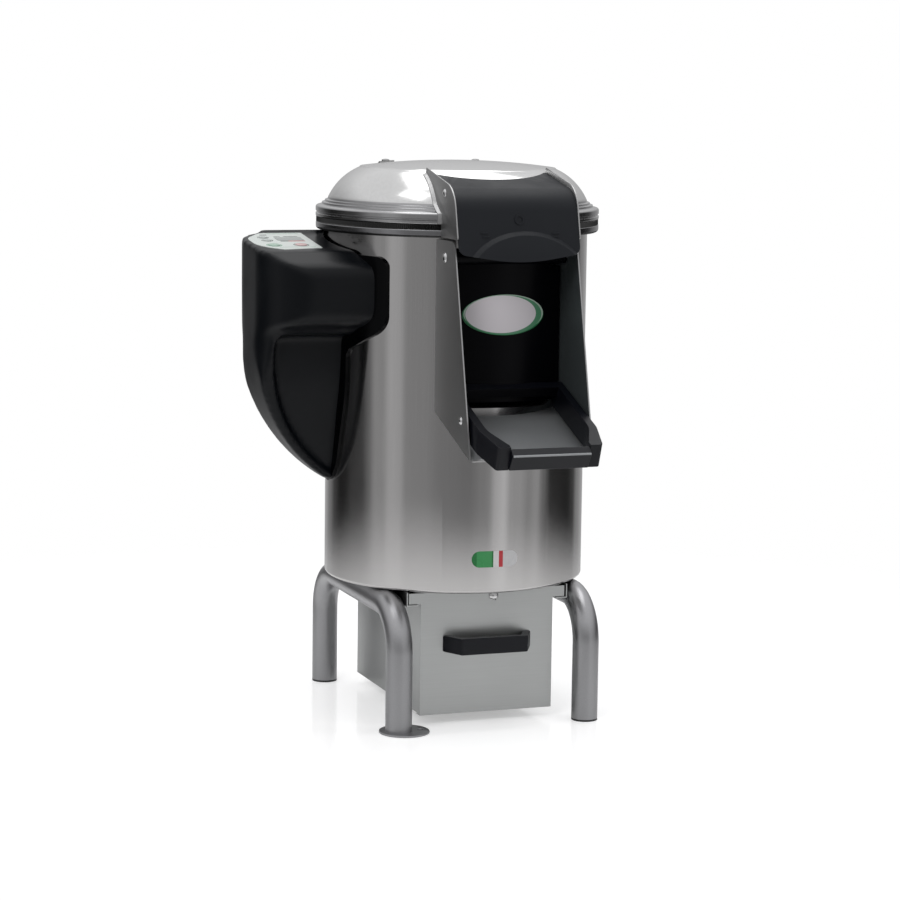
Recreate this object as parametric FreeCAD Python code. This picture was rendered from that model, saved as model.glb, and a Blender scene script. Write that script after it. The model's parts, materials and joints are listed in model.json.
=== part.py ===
import FreeCAD, Part
import math
import os
from FreeCAD import Rotation, Vector

# Floor-standing electric potato peeler, in millimetres.
# Origin on the drum's axis at floor level, +Z up, discharge chute towards -Y,
# control box on the -X side, lid hinge towards +Y.

# Drum
DRUM_R = 200.0
SHEET = 2.0
BASE_Z = 206.0
DRUM_TOP = 738.0
RIM_R = 217.0
SEAL_Z = 749.5
LID_Z = 757.8
LID_GAP = 0.3
LID_TOP = 844.0
CREASE_R = 150.0

# Peeling chamber and drive
FLOOR_Z = 452.0
DISC_Z = 470.0
DISC_R = 186.0
DISC_THICK = 12.0
LINER_R = 191.5
SHAFT_R = 12.5
RUNNING = 0.05
HOUSING_R = 38.0
BEARING_R = 26.0
BEARING_H = 15.0
PULLEY_Z = 222.0
PULLEY_H = 24.0
DRIVEN_R = 74.0
MOTOR_PULLEY_R = 18.5
MOTOR_Y = 112.0
MOTOR_R = 62.0
DUCT_Y = -112.0
DUCT_R = 33.0

# Stand
TUBE_R = 20.0
TUBE_WALL = 2.0
LEG_X = 150.0
LEG_Y = 186.0
RUN_Z = 186.0
BEND_R = 66.0
FOOT_H = 3.0
FOOT_PLATE_R = 38.0

# Discharge window, chute and door
WINDOW_X = 84.0
WINDOW_Z = (486.0, 700.0)
CHEEK_X = 96.0
CHUTE_LIP = (-330.0, 427.0)
PIVOT = (-214.0, 711.0)
DOOR_R = 218.0
DOOR_WALL = 5.0
DOOR_X = 91.0
FRAME_SLOPE = 20.0
FRAME_DEPTH = 36.0

# Hood on the lid
HOOD_TOP = (-110.0, 835.2)
HOOD_BROW = (-258.5, 823.3)
HOOD_FOOT = (-278.0, 739.5)
HOOD_BROW_R = 75.0

# Lid hinge
HINGE_Y = 232.0
HINGE_Z = 758.0
STRAP_X = 75.0
STRAP_W = 24.0

# Control box
BOX_X = -333.0
BOX_FRONT = -114.0
BOX_REAR = 86.0
BOX_WALL = 3.5
PANEL_Z = 721.2
PANEL_SLOPE = 6.8

# Peel drawer
DRAWER_X = 104.0
DRAWER_FRONT = -156.0
DRAWER_BACK = 157.0
DRAWER_Z = 16.0
FLANGE_Z = 187.0
RAIL_X = 129.5

parts = {}


def keep(name, shape):
    parts[name] = shape.removeSplitter() if not shape.Solids[1:] else shape


def box(x, y, z):
    corner = Vector(min(x), min(y), min(z))
    return Part.makeBox(abs(x[1] - x[0]), abs(y[1] - y[0]), abs(z[1] - z[0]), corner)


def rod(radius, low, high, x=0.0, y=0.0):
    return Part.makeCylinder(radius, high - low, Vector(x, y, low))


def tube(outer, inner, low, high, x=0.0, y=0.0):
    return rod(outer, low, high, x, y).cut(rod(inner, low - 1, high + 1, x, y))


def cross_rod(radius, x_from, x_to, y, z):
    return Part.makeCylinder(radius, x_to - x_from, Vector(x_from, y, z), Vector(1, 0, 0))


def group(shapes):
    return Part.makeCompound(list(shapes))


def mirrored(shape):
    return shape.mirror(Vector(0, 0, 0), Vector(1, 0, 0))


def fused(first, *others):
    return first.multiFuse(list(others)) if others else first


def outline(plane, corners, at=0.0):
    """A closed face through corners (u, v) or (u, v, radius) in a plane XY, XZ or YZ."""
    place = {"XY": lambda u, v: Vector(u, v, at),
             "XZ": lambda u, v: Vector(u, at, v),
             "YZ": lambda u, v: Vector(at, u, v)}[plane]
    count = len(corners)
    bends = []
    for i, corner in enumerate(corners):
        here = Vector(corner[0], corner[1], 0)
        radius = corner[2] if len(corner) > 2 else 0.0
        before = Vector(*corners[i - 1][:2], 0) - here
        after = Vector(*corners[(i + 1) % count][:2], 0) - here
        before.normalize()
        after.normalize()
        if not radius:
            bends.append((here, None, here))
            continue
        half = before.getAngle(after) / 2
        inwards = (before + after).normalize()
        reach = radius / math.tan(half)
        middle = here + inwards * (radius / math.sin(half) - radius)
        bends.append((here + before * reach, middle, here + after * reach))
    edges = []
    for i, (start, middle, end) in enumerate(bends):
        if middle is not None:
            edges.append(Part.Arc(place(start.x, start.y), place(middle.x, middle.y),
                                  place(end.x, end.y)).toShape())
        following = bends[(i + 1) % count][0]
        if end.distanceToPoint(following) > 0.001:
            edges.append(Part.makeLine(place(end.x, end.y), place(following.x, following.y)))
    return Part.Face(Part.Wire(edges))


def turned(corners):
    """The ring or disc that a section in the XZ plane sweeps round the drum's axis."""
    return outline("XZ", corners).revolve(Vector(0, 0, 0), Vector(0, 0, 1), 360)


def across(corners, x_from, x_to):
    return outline("YZ", corners, x_from).extrude(Vector(x_to - x_from, 0, 0))


def upright(corners, low, high):
    return outline("XY", corners, low).extrude(Vector(0, 0, high - low))


def along_y(corners, y_from, y_to):
    return outline("XZ", corners, y_from).extrude(Vector(0, y_to - y_from, 0))


# Two inverted-U tubes, one under each side of the drum, carry the whole machine.
def leg_route(x):
    top = RUN_Z - BEND_R
    inset = LEG_Y - BEND_R
    slack = BEND_R * (1 - math.sqrt(0.5))
    marks = [Vector(x, -LEG_Y, FOOT_H), Vector(x, -LEG_Y, top),
             Vector(x, -LEG_Y + slack, RUN_Z - slack), Vector(x, -inset, RUN_Z),
             Vector(x, inset, RUN_Z), Vector(x, LEG_Y - slack, RUN_Z - slack),
             Vector(x, LEG_Y, top), Vector(x, LEG_Y, FOOT_H)]
    return Part.Wire([Part.makeLine(marks[0], marks[1]),
                      Part.Arc(marks[1], marks[2], marks[3]).toShape(),
                      Part.makeLine(marks[3], marks[4]),
                      Part.Arc(marks[4], marks[5], marks[6]).toShape(),
                      Part.makeLine(marks[6], marks[7])])


def swept(route, radius):
    start = route.Vertexes[0].Point
    ring = Part.Wire(Part.Circle(start, Vector(0, 0, 1), radius).toShape())
    return route.makePipeShell([ring], True, False)


def leg_tube(x):
    route = leg_route(x)
    return swept(route, TUBE_R).cut(swept(route, TUBE_R - TUBE_WALL))


keep("frame_tube_left", leg_tube(-LEG_X))
keep("frame_tube_right", leg_tube(LEG_X))

# Three legs end in a push-in plug, the front left one in a welded floor plate.
plug = fused(rod(TUBE_R, 0, FOOT_H), rod(TUBE_R - TUBE_WALL - 0.1, FOOT_H, 28))
plug = plug.cut(rod(13, 6, 40))
plug_feet = [(LEG_X, -LEG_Y), (LEG_X, LEG_Y), (-LEG_X, LEG_Y)]
keep("foot_plugs", group(plug.translated(Vector(x, y, 0)) for x, y in plug_feet))

PLATE_CENTRE_X = -LEG_X + 9.0
FIXING_X = PLATE_CENTRE_X + 26.0
FIXING_R = 4.5
floor_plate = rod(FOOT_PLATE_R, 0, FOOT_H, PLATE_CENTRE_X, -LEG_Y)
keep("floor_plate", floor_plate.cut(rod(FIXING_R, -1, 10, FIXING_X, -LEG_Y)))


# The base plate closes the drum's foot, its edge stepped up over the drum's curl. The
# peel duct comes through it, and slots behind it let the motor breathe.
CURL_R = DRUM_R - 8
PLATE_EDGE = DRUM_R - 3.2
base_plate = turned([(0, BASE_Z), (CURL_R - 0.2, BASE_Z), (CURL_R - 0.2, BASE_Z + SHEET),
                     (PLATE_EDGE, BASE_Z + SHEET), (PLATE_EDGE, BASE_Z + 4), (CURL_R - 3, BASE_Z + 4),
                     (CURL_R - 4, BASE_Z + 3), (0, BASE_Z + 3)])
base_plate = base_plate.cut(rod(DUCT_R + 0.2, 200, 215, 0, DUCT_Y))
for i in range(7):
    slot = upright([(-4, -22, 3.9), (4, -22, 3.9), (4, 22, 3.9), (-4, 22, 3.9)], 200, 215)
    base_plate = base_plate.cut(slot.translated(Vector(-54 + 18 * i, 150, 0)))
keep("base_plate", base_plate)

base_bolt = fused(rod(6.5, BASE_Z + 3, BASE_Z + 8), rod(3.9, BASE_Z - 18, BASE_Z + 4))
bolt_spots = [(x, y) for x in (-LEG_X, LEG_X) for y in (-85, 85)]
keep("base_bolts", group(base_bolt.translated(Vector(x, y, 0)) for x, y in bolt_spots))
for side, x in (("left", -LEG_X), ("right", LEG_X)):
    bored = parts["frame_tube_" + side]
    for y in (-85, 85):
        bored = bored.cut(rod(4.0, BASE_Z - 25, BASE_Z + 5, x, y))
        parts["base_plate"] = parts["base_plate"].cut(rod(4.0, BASE_Z - 5, BASE_Z + 10, x, y))
    parts["frame_tube_" + side] = bored


# Folded rails under the base plate carry the drawer by its flanges.
def rail(side):
    angle = [(RAIL_X, BASE_Z), (RAIL_X, FLANGE_Z - 2.5), (RAIL_X - 18.5, FLANGE_Z - 2.5),
             (RAIL_X - 18.5, FLANGE_Z - 0.5), (RAIL_X - 2, FLANGE_Z - 0.5), (RAIL_X - 2, BASE_Z)]
    left = along_y(angle, DRAWER_FRONT - 2, DRAWER_BACK - 2)
    stop = box((RAIL_X - 18.5, RAIL_X - 1), (DRAWER_BACK - 4, DRAWER_BACK - 2), (FLANGE_Z - 1, BASE_Z))
    whole = left.fuse(stop)
    return whole if side > 0 else mirrored(whole)


keep("rail_left", rail(-1))
keep("rail_right", rail(1))

# The drum: one rolled sheet with a curled foot and the discharge window.
drum = turned([(DRUM_R - SHEET, DRUM_TOP), (DRUM_R, DRUM_TOP), (DRUM_R, BASE_Z, 5), (CURL_R, BASE_Z),
               (CURL_R, BASE_Z + SHEET - 0.1), (DRUM_R - SHEET, BASE_Z + SHEET - 0.1, 1)])
low, high = WINDOW_Z
window = [(-WINDOW_X, low, 14), (WINDOW_X, low, 14), (WINDOW_X, high, 14), (-WINDOW_X, high, 14)]
window_prism = along_y(window, -260, -100)
INLET_Z = 650.0
INLET_R = 13.2
inlet_hole = Part.makeCylinder(INLET_R + 0.2, 80, Vector(0, 160, INLET_Z), Vector(0, 1, 0))
cable_window = across([(-32, 560, 8), (32, 560, 8), (32, 610, 8), (-32, 610, 8)], -240, -150)
keep("drum_shell", drum.cut(window_prism).cut(inlet_hole).cut(cable_window))

keep("drum_rim", turned([(LINER_R - 0.5, SEAL_Z - 3), (LINER_R - 0.5, SEAL_Z), (RIM_R, SEAL_Z, 1.5),
                         (RIM_R, DRUM_TOP, 5), (DRUM_R + 0.1, DRUM_TOP), (DRUM_R + 0.1, DRUM_TOP + 2),
                         (RIM_R - 2.2, DRUM_TOP + 2, 3.2), (RIM_R - 2.2, SEAL_Z - 3)]))

# A rubber ring seals the lid on the rim.
seal = turned([(205, SEAL_Z), (216.5, SEAL_Z), (216.5, LID_Z - LID_GAP), (205, LID_Z - LID_GAP)])
keep("lid_seal", seal)

liner = tube(DRUM_R - SHEET - 0.1, LINER_R, FLOOR_Z + 4, SEAL_Z - 3)
liner = liner.cut(window_prism).cut(inlet_hole)
keep("abrasive_liner", liner)

chamber_floor = rod(DRUM_R - SHEET - 0.1, FLOOR_Z, FLOOR_Z + 4)
chamber_floor = chamber_floor.cut(rod(BEARING_R + 0.1, 440, 470)).cut(rod(DUCT_R, 440, 470, 0, DUCT_Y))
peel_duct = tube(DUCT_R, DUCT_R - SHEET, 191, FLOOR_Z + 4, 0, DUCT_Y)
keep("chamber_floor", chamber_floor.fuse(peel_duct))


# The disc's shaft runs in two bearings in one flanged housing under the chamber.
HOUSING_FOOT = 330.0
UPPER_BEARING_Z = 430.0
LOWER_BEARING_Z = 334.0
SEAT_R = BEARING_R + 0.02
housing = fused(rod(HOUSING_R, HOUSING_FOOT, FLOOR_Z), rod(62, FLOOR_Z - 8, FLOOR_Z))
housing = housing.cut(rod(20, 320, 470)).cut(rod(SEAT_R, UPPER_BEARING_Z, 470))
housing = housing.cut(rod(SEAT_R, 320, LOWER_BEARING_Z + BEARING_H))
for i in range(6):
    rib = along_y([(HOUSING_R - 3, 380), (HOUSING_R + 4, 380), (58, FLOOR_Z - 8), (HOUSING_R - 3, FLOOR_Z - 8)],
                  -3, 3)
    rib.rotate(Vector(0, 0, 0), Vector(0, 0, 1), 60 * i)
    housing = housing.fuse(rib)
keep("bearing_housing", housing)

bearing = tube(BEARING_R, SHAFT_R + RUNNING, 0, BEARING_H)
groove = tube(22.5, 16, -1, 1.2)
bearing = bearing.cut(groove).cut(groove.translated(Vector(0, 0, BEARING_H - 0.2)))
bearing_heights = (LOWER_BEARING_Z, UPPER_BEARING_Z)
keep("shaft_bearings", group(bearing.translated(Vector(0, 0, z)) for z in bearing_heights))
keep("shaft_seal", tube(BEARING_R, SHAFT_R + RUNNING, UPPER_BEARING_Z + BEARING_H, FLOOR_Z + 6))

shaft = fused(rod(SHAFT_R, PULLEY_Z - 6, DISC_Z + DISC_THICK), rod(9, DISC_Z + DISC_THICK, DISC_Z + 26))
keep("drive_shaft", shaft)


def ribbed_pulley(radius, bore, hub):
    """A poly-V pulley: a grooved rim, a web and a hub."""
    rim = [(radius - 7, 0), (radius + 2, 0), (radius + 2, 2), (radius - 1, 2)]
    pitch = (PULLEY_H - 6) / 6
    for i in range(6):
        foot = 3 + pitch * i
        rim += [(radius - 1, foot), (radius - 3.5, foot + pitch / 2)]
    rim += [(radius - 1, PULLEY_H - 3), (radius - 1, PULLEY_H - 2), (radius + 2, PULLEY_H - 2),
            (radius + 2, PULLEY_H), (radius - 7, PULLEY_H)]
    wheel = turned(rim)
    if radius - 7 > hub:
        web = tube(radius - 6, hub - 1, 8, 14)
        for i in range(6):
            angle = math.radians(60 * i)
            reach = (radius + hub) / 2 - 2
            web = web.cut(rod(11, 0, 20, reach * math.cos(angle), reach * math.sin(angle)))
        wheel = fused(wheel, web, tube(hub, bore, 0, PULLEY_H))
    else:
        wheel = wheel.fuse(tube(radius - 6, bore, 0, PULLEY_H))
    return wheel.translated(Vector(0, 0, PULLEY_Z))


keep("driven_pulley", ribbed_pulley(DRIVEN_R, SHAFT_R, 24))
motor_pulley = ribbed_pulley(MOTOR_PULLEY_R, 7.0, 20)
keep("motor_pulley", motor_pulley.translated(Vector(0, MOTOR_Y, 0)))


def belt_loop(growth, low, high):
    """The solid inside a loop that wraps both pulleys, grown by an even amount."""
    big = DRIVEN_R - 1 + growth
    small = MOTOR_PULLEY_R - 1 + growth
    lean = math.asin((big - small) / MOTOR_Y)
    side = Vector(math.cos(lean), math.sin(lean), 0)
    ends = [Vector(big * side.x, big * side.y, low),
            Vector(small * side.x, MOTOR_Y + small * side.y, low)]
    web = [(ends[0].x, ends[0].y), (ends[1].x, ends[1].y), (-ends[1].x, ends[1].y),
           (-ends[0].x, ends[0].y)]
    return fused(rod(big, low, high), rod(small, low, high, 0, MOTOR_Y), upright(web, low, high))


belt = belt_loop(4.3, PULLEY_Z + 3.2, PULLEY_Z + PULLEY_H - 3.2)
keep("drive_belt", belt.cut(belt_loop(0.3, PULLEY_Z, PULLEY_Z + PULLEY_H)).removeSplitter())

# The abrasive disc: three low waves on top throw the potatoes outwards, and three
# paddles below sweep the peelings to the duct.
disc = turned([(0, DISC_Z), (DISC_R - 3, DISC_Z), (DISC_R, DISC_Z + 3), (DISC_R, DISC_Z + DISC_THICK, 4),
               (0, DISC_Z + DISC_THICK)])
WAVE_R = 120.0
WAVE_H = 7.0
wave_centre = DISC_Z + DISC_THICK + WAVE_H - WAVE_R
for i in range(3):
    wave = Part.makeCylinder(WAVE_R, DISC_R, Vector(20, 0, wave_centre), Vector(1, 0, 0))
    wave = wave.common(tube(DISC_R - 8, 26, DISC_Z + 4, DISC_Z + 40))
    wave.rotate(Vector(0, 0, 0), Vector(0, 0, 1), 120 * i)
    paddle = box((40, DISC_R - 10), (-3, 3), (FLOOR_Z + 7, DISC_Z + 1))
    paddle.rotate(Vector(0, 0, 0), Vector(0, 0, 1), 120 * i + 60)
    disc = disc.multiFuse([wave, paddle])
disc = disc.fuse(rod(26, DISC_Z - 7, DISC_Z + 1)).cut(rod(SHAFT_R, DISC_Z - 20, DISC_Z + DISC_THICK))
disc = disc.cut(rod(9, DISC_Z, DISC_Z + 40))
keep("abrasive_disc", disc)
nut = turned([(0, 0), (22, 0), (22, 7, 2), (15, 16, 8), (0, 18)])
NUT_Z = DISC_Z + DISC_THICK
keep("disc_nut", nut.translated(Vector(0, 0, NUT_Z)).cut(rod(9, NUT_Z - 1, DISC_Z + 26)))


# The motor stands beside the housing on a plate with four posts.
MOTOR_FOOT = 262.0
MOTOR_HEAD = 438.0
motor = turned([(0, MOTOR_FOOT), (MOTOR_R + 6, MOTOR_FOOT, 3), (MOTOR_R + 6, MOTOR_FOOT + 10, 2),
                (MOTOR_R - 4, MOTOR_FOOT + 10), (MOTOR_R - 4, MOTOR_HEAD - 34), (MOTOR_R, MOTOR_HEAD - 34),
                (MOTOR_R, MOTOR_HEAD, 14), (0, MOTOR_HEAD)])
for i in range(16):
    fin = box((MOTOR_R - 6, MOTOR_R), (-1.6, 1.6), (MOTOR_FOOT + 10, MOTOR_HEAD - 33))
    fin.rotate(Vector(0, 0, 0), Vector(0, 0, 1), 22.5 * i)
    motor = motor.fuse(fin)
motor = motor.cut(rod(7.1, MOTOR_FOOT - 5, MOTOR_FOOT + 40)).translated(Vector(0, MOTOR_Y, 0))
keep("motor_body", motor)
motor_shaft = rod(7.0, PULLEY_Z - 4, MOTOR_FOOT + 36, 0, MOTOR_Y)
keep("motor_shaft", motor_shaft)

POSTS = [(x, MOTOR_Y + y) for x in (-66, 66) for y in (-46, 36)]
mount = upright([(-76, MOTOR_Y - 56, 8), (76, MOTOR_Y - 56, 8), (76, MOTOR_Y + 46, 8),
                 (-76, MOTOR_Y + 46, 8)], MOTOR_FOOT - 5, MOTOR_FOOT)
mount = mount.cut(rod(30, 250, 270, 0, MOTOR_Y)).cut(rod(HOUSING_R + 3, 250, 270))
for x, y in POSTS:
    mount = mount.fuse(rod(6, BASE_Z + 3, MOTOR_FOOT - 4, x, y))
keep("motor_mount", mount)

# Water comes in at the back through a threaded spigot and a spray nozzle.
inlet_axis = Vector(0, 1, 0)


def rear_rod(radius, y_from, y_to, z, x=0.0):
    return Part.makeCylinder(radius, y_to - y_from, Vector(x, y_from, z), inlet_axis)


spigot = rear_rod(INLET_R, 186, 240, INLET_Z)
hexagon = [(19 * math.cos(math.radians(60 * i)), INLET_Z + 19 * math.sin(math.radians(60 * i)))
           for i in range(6)]
spigot = fused(spigot, along_y(hexagon, 200.3, 212), rear_rod(20, 187.4, LINER_R - 1.2, INLET_Z))
bore = rear_rod(9.5, 180, 245, INLET_Z)
keep("water_inlet", spigot.cut(bore))
# The chute: two folded cheeks and a sloping floor, seated on the drum's wall.
LIP_Y, LIP_Z = CHUTE_LIP
CHUTE_SLOPE = 0.349
FRONT_SLOPE = 0.2466
CHUTE_TOP = 736.0
front_top_y = LIP_Y + (CHUTE_TOP - LIP_Z) * FRONT_SLOPE
chute_rear_z = LIP_Z + CHUTE_SLOPE * (-150 - LIP_Y)
cheek_side = [(LIP_Y, LIP_Z), (front_top_y, CHUTE_TOP, 17), (-168, CHUTE_TOP, 26),
              (-150, 690), (-150, chute_rear_z)]
hollow = [(LIP_Y - 40, LIP_Z + SHEET - CHUTE_SLOPE * 40), (LIP_Y - 40, 760), (-140, 760),
          (-140, chute_rear_z + SHEET + CHUTE_SLOPE * 10)]
chute = across(cheek_side, -CHEEK_X, CHEEK_X).cut(across(hollow, -CHEEK_X + SHEET, CHEEK_X - SHEET))
lip_roll = cross_rod(2.2, -CHEEK_X + 4, CHEEK_X - 4, LIP_Y + 1, LIP_Z + 0.6)
chute = chute.fuse(lip_roll).cut(rod(DRUM_R + 0.1, 300, 800))
pivot_hole = cross_rod(4.2, -120, 120, *PIVOT)
CATCH = (-290.0, 481.0)
keep("chute", chute.cut(pivot_hole).cut(cross_rod(3.2, -120, 120, *CATCH)))


def side_screw(radius, length):
    """A domed screw that points inwards from the left cheek's outer face."""
    head = Part.makeSphere(radius * 1.5, Vector(radius * 0.9, 0, 0))
    head = head.common(Part.makeCylinder(radius * 1.7, radius * 2, Vector(-radius, 0, 0), Vector(1, 0, 0)))
    head = head.common(box((-radius * 2, 0), (-20, 20), (-20, 20)))
    return head.fuse(Part.makeCylinder(radius * 0.62, length, Vector(-0.2, 0, 0), Vector(1, 0, 0)))


def both_sides(piece, x, y, z):
    right = piece.copy()
    right.rotate(Vector(0, 0, 0), Vector(0, 0, 1), 180)
    return [piece.translated(Vector(-x, y, z)), right.translated(Vector(x, y, z))]


keep("door_pivots", group(both_sides(side_screw(6.5, 16), CHEEK_X, *PIVOT)))
keep("catch_screws", group(both_sides(side_screw(5.0, 5), CHEEK_X, *CATCH)))
catch_pad = Part.makeCylinder(9, 2.7, Vector(SHEET + 0.1, 0, 0), Vector(1, 0, 0))
catch_pad = catch_pad.cut(Part.makeCylinder(3.15, 10, Vector(0, 0, 0), Vector(1, 0, 0)))
keep("door_catches", group(both_sides(catch_pad, CHEEK_X, *CATCH)))


# The door: a curved pan that hangs from a barrel between the cheeks.
DOOR_FOOT = 497.0
pivot_y, pivot_z = PIVOT
BARREL_R = 10.0
pan_side = [(-DOOR_X, DOOR_FOOT, 8), (DOOR_X, DOOR_FOOT, 8), (DOOR_X, pivot_z), (-DOOR_X, pivot_z)]
pan_hole = [(-DOOR_X + 4, DOOR_FOOT + 4, 6), (DOOR_X - 4, DOOR_FOOT + 4, 6), (DOOR_X - 4, pivot_z - 8),
            (-DOOR_X + 4, pivot_z - 8)]
pan = along_y(pan_side, -240, -170).common(rod(DOOR_R, 400, 800)).cut(rod(DRUM_R + 1.2, 400, 800))
pan = pan.cut(along_y(pan_hole, -300, -100).common(rod(DOOR_R - DOOR_WALL, 400, 800)))
barrel_room = box((-120, 120), (pivot_y + 9, 0), (pivot_z - 16, 800))
barrel = cross_rod(BARREL_R, -DOOR_X, DOOR_X, *PIVOT)
door = pan.cut(barrel_room).fuse(barrel)
brow = cross_rod(BARREL_R + 1, -DOOR_X, DOOR_X, *PIVOT).common(box((-99, 99), (-300, pivot_y), (700, 720)))
pivot_bore = cross_rod(4.08, -120, 120, *PIVOT)
PAD_CENTRE = Vector(1, -240, 626)
PAD_RAISED = 0.8
pad_rim = Part.Ellipse(PAD_CENTRE + Vector(63.5, 0, 0), PAD_CENTRE + Vector(0, 0, 28.5), PAD_CENTRE)
pad = Part.Face(Part.Wire(pad_rim.toShape())).extrude(Vector(0, 60, 0))
pad = pad.common(tube(DOOR_R + PAD_RAISED, DOOR_R - 1, 590, 660))
keep("door_panel", door.multiFuse([brow, pad]).cut(pivot_bore))

# The door's handle: two deep arms that slope down past the cheeks, a rear bar that
# carries the door and a ridged grip across the front, all in one moulded frame.
slope = math.radians(FRAME_SLOPE)
arm_outer = 90.5
ARM_W = 12.0
FRAME_REAR = -214.0


def tilted(corners, low, high):
    """A prism drawn in plan, whose top is the frame's sloping top face."""
    top_rear = Vector(0, FRAME_REAR, 524.5)
    flat = upright([(x, (y - FRAME_REAR) / math.cos(slope), *rest) for x, y, *rest in corners], low, high)
    flat.rotate(Vector(0, 0, 0), Vector(1, 0, 0), FRAME_SLOPE)
    return flat.translated(top_rear)


outer_plan = [(arm_outer, FRAME_REAR), (arm_outer, -352, 60), (79, -403, 5), (-79, -403, 5),
              (-arm_outer, -352, 60), (-arm_outer, FRAME_REAR)]
inner_x = arm_outer - ARM_W
inner_plan = [(inner_x, -232), (inner_x, -352, 60), (61, -394, 3), (-61, -394, 3),
              (-inner_x, -352, 60), (-inner_x, -232)]
frame = tilted(outer_plan, -FRAME_DEPTH, 0).cut(tilted(inner_plan, -60, 20))
grip_room = tilted([(60.5, -372), (60.5, -430), (-60.5, -430), (-60.5, -372)], -60, 20)
rear_trim = tilted([(inner_x, -200), (inner_x, -240), (-inner_x, -240), (-inner_x, -200)], -60, -14)
frame = frame.cut(grip_room).cut(rear_trim).cut(rod(DOOR_R + 0.1, 400, 800))
pocket = cross_rod(7, -arm_outer - 20, -arm_outer + 9, -397, 440)
frame = frame.cut(pocket).cut(mirrored(pocket))
keep("door_arms", frame)
grip_section = [(-399.5, 453.5, 2), (-409.5, 444, 3), (-394, 421.5, 2), (-381.5, 425.5, 3), (-384.5, 446, 4)]
keep("door_grip", across(grip_section, -60.4, 60.4))
# The lid: a spun dome with a stepped foot and a round bead over the seal.
def dome(grow, low):
    """The solid under the lid's outer face, grown outwards and cut at a height."""
    return turned([(0, low), (0, LID_TOP + grow), (75, LID_TOP + grow, 1120),
                   (CREASE_R - 0.5, 834.5 + grow), (CREASE_R + 1 + grow * 0.5, 832.4 + grow),
                   (182.5 + grow * 0.6, 817.4 + grow * 0.9, 92), (198.4 + grow, 782),
                   (201.2 + grow, 780.6, 1.2), (201.8 + grow, 777), (217.3 + grow, 776 + grow, 8),
                   (217.3 + grow, low)])


lid = dome(0, LID_Z)
inside = turned([(0, LID_Z - 1), (0, LID_TOP - SHEET), (75, LID_TOP - SHEET, 1120),
                 (CREASE_R - 2, 832.4), (181, 815.4, 90), (196.2, 782), (196.2, LID_Z - 1)])
keep("lid_dome", lid.cut(inside))

# The hood's cheeks: upright plates with a narrow flange that lies on the dome.
brow_y, brow_z = HOOD_BROW
foot_y, foot_z = HOOD_FOOT
cheek_edge = [HOOD_TOP, (brow_y, brow_z, HOOD_BROW_R), (foot_y, foot_z, 3), (-150, foot_z), (-110, 780)]
clearance = dome(0.3, 700)


def hood_cheek():
    plate = across(cheek_edge, -CHEEK_X, -CHEEK_X + SHEET)
    skin = dome(0.3 + SHEET, LID_Z)
    flange = skin.common(box((-CHEEK_X - 11, -CHEEK_X + 0.5), (-260, -105), (LID_Z + 0.2, 850)))
    return plate.fuse(flange).cut(clearance)


left_cheek = hood_cheek()
HOOD_SCREW = (-210.0, 804.5)
left_cheek = left_cheek.cut(cross_rod(3.2, -120, 0, *HOOD_SCREW))
keep("hood_cheek_left", left_cheek)
keep("hood_cheek_right", mirrored(left_cheek))
keep("hood_screws", group(both_sides(side_screw(5.0, 8), CHEEK_X, *HOOD_SCREW)))


# The hood: a bent black panel between the cheeks, with a grip lip at its foot.
def hood_sheet(outer, inner):
    """A bent sheet between two offsets inwards from the cheeks' front edge."""
    drop = 34.5
    lean = (brow_y - foot_y) / (brow_z - foot_z)
    tip_y, tip_z = foot_y - drop * lean, foot_z - drop

    def line(inwards):
        return [(HOOD_TOP[0], HOOD_TOP[1] - inwards),
                (brow_y + inwards * 0.9, brow_z - inwards * 0.95, HOOD_BROW_R - inwards),
                (tip_y + inwards, tip_z)]

    return across(line(outer) + line(inner)[::-1], -CHEEK_X + SHEET + 0.2, CHEEK_X - SHEET - 0.2)


hood_x = CHEEK_X - SHEET - 0.2
hood_shape = along_y([(-hood_x, 860), (-hood_x, 718.5, 12), (0, 704.0, 300), (hood_x, 718.5, 12),
                      (hood_x, 860)], -330, -90)
hood = hood_sheet(1.6, 5.6).common(hood_shape)
lip_cone = Part.makeCone(101, 86, 24, Vector(0, -276, 655), Vector(0, -1, 0))
lip = hood_sheet(-5.0, 2.0).common(lip_cone).common(hood_shape)
ring_axis = Vector(0, 1, 0)
ring = Part.makeCylinder(7, 60, Vector(-3, -310, 770), ring_axis)
ring = ring.cut(Part.makeCylinder(4.8, 60, Vector(-3, -310, 770), ring_axis)).common(hood_sheet(1.1, 2.5))
hood = hood.multiFuse([lip, ring]).cut(clearance).cut(rod(CREASE_R + 1, 800, 860))
screw_y, screw_z = HOOD_SCREW
lug = across([(screw_y - 10, screw_z - 9, 7), (screw_y + 10, screw_z - 9, 7), (screw_y + 10, brow_z - 4),
              (screw_y - 10, brow_z - 2)], -hood_x, -hood_x + 6)
lug = lug.cut(cross_rod(3.15, -120, -60, *HOOD_SCREW))
keep("hood_panel", hood.multiFuse([lug, mirrored(lug)]))

# Lid hinge: two straps over the dome's back, one long pin and a bracket on the drum.
KNUCKLE_R = 8.0
PIN_R = 4.0


def strap():
    half = STRAP_W / 2
    band = dome(3.3, LID_Z + 0.5).cut(dome(0.3, 700))
    band = band.common(box((STRAP_X - half, STRAP_X + half), (118, 260), (LID_Z + 0.5, 860)))
    tail = box((STRAP_X - half, STRAP_X + half), (196, HINGE_Y), (LID_Z + 0.7, LID_Z + 6))
    knuckle = cross_rod(KNUCKLE_R, STRAP_X - half, STRAP_X + half, HINGE_Y, HINGE_Z)
    whole = fused(band, tail.cut(clearance), knuckle)
    return whole.cut(cross_rod(PIN_R + RUNNING, 0, 120, HINGE_Y, HINGE_Z))


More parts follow.
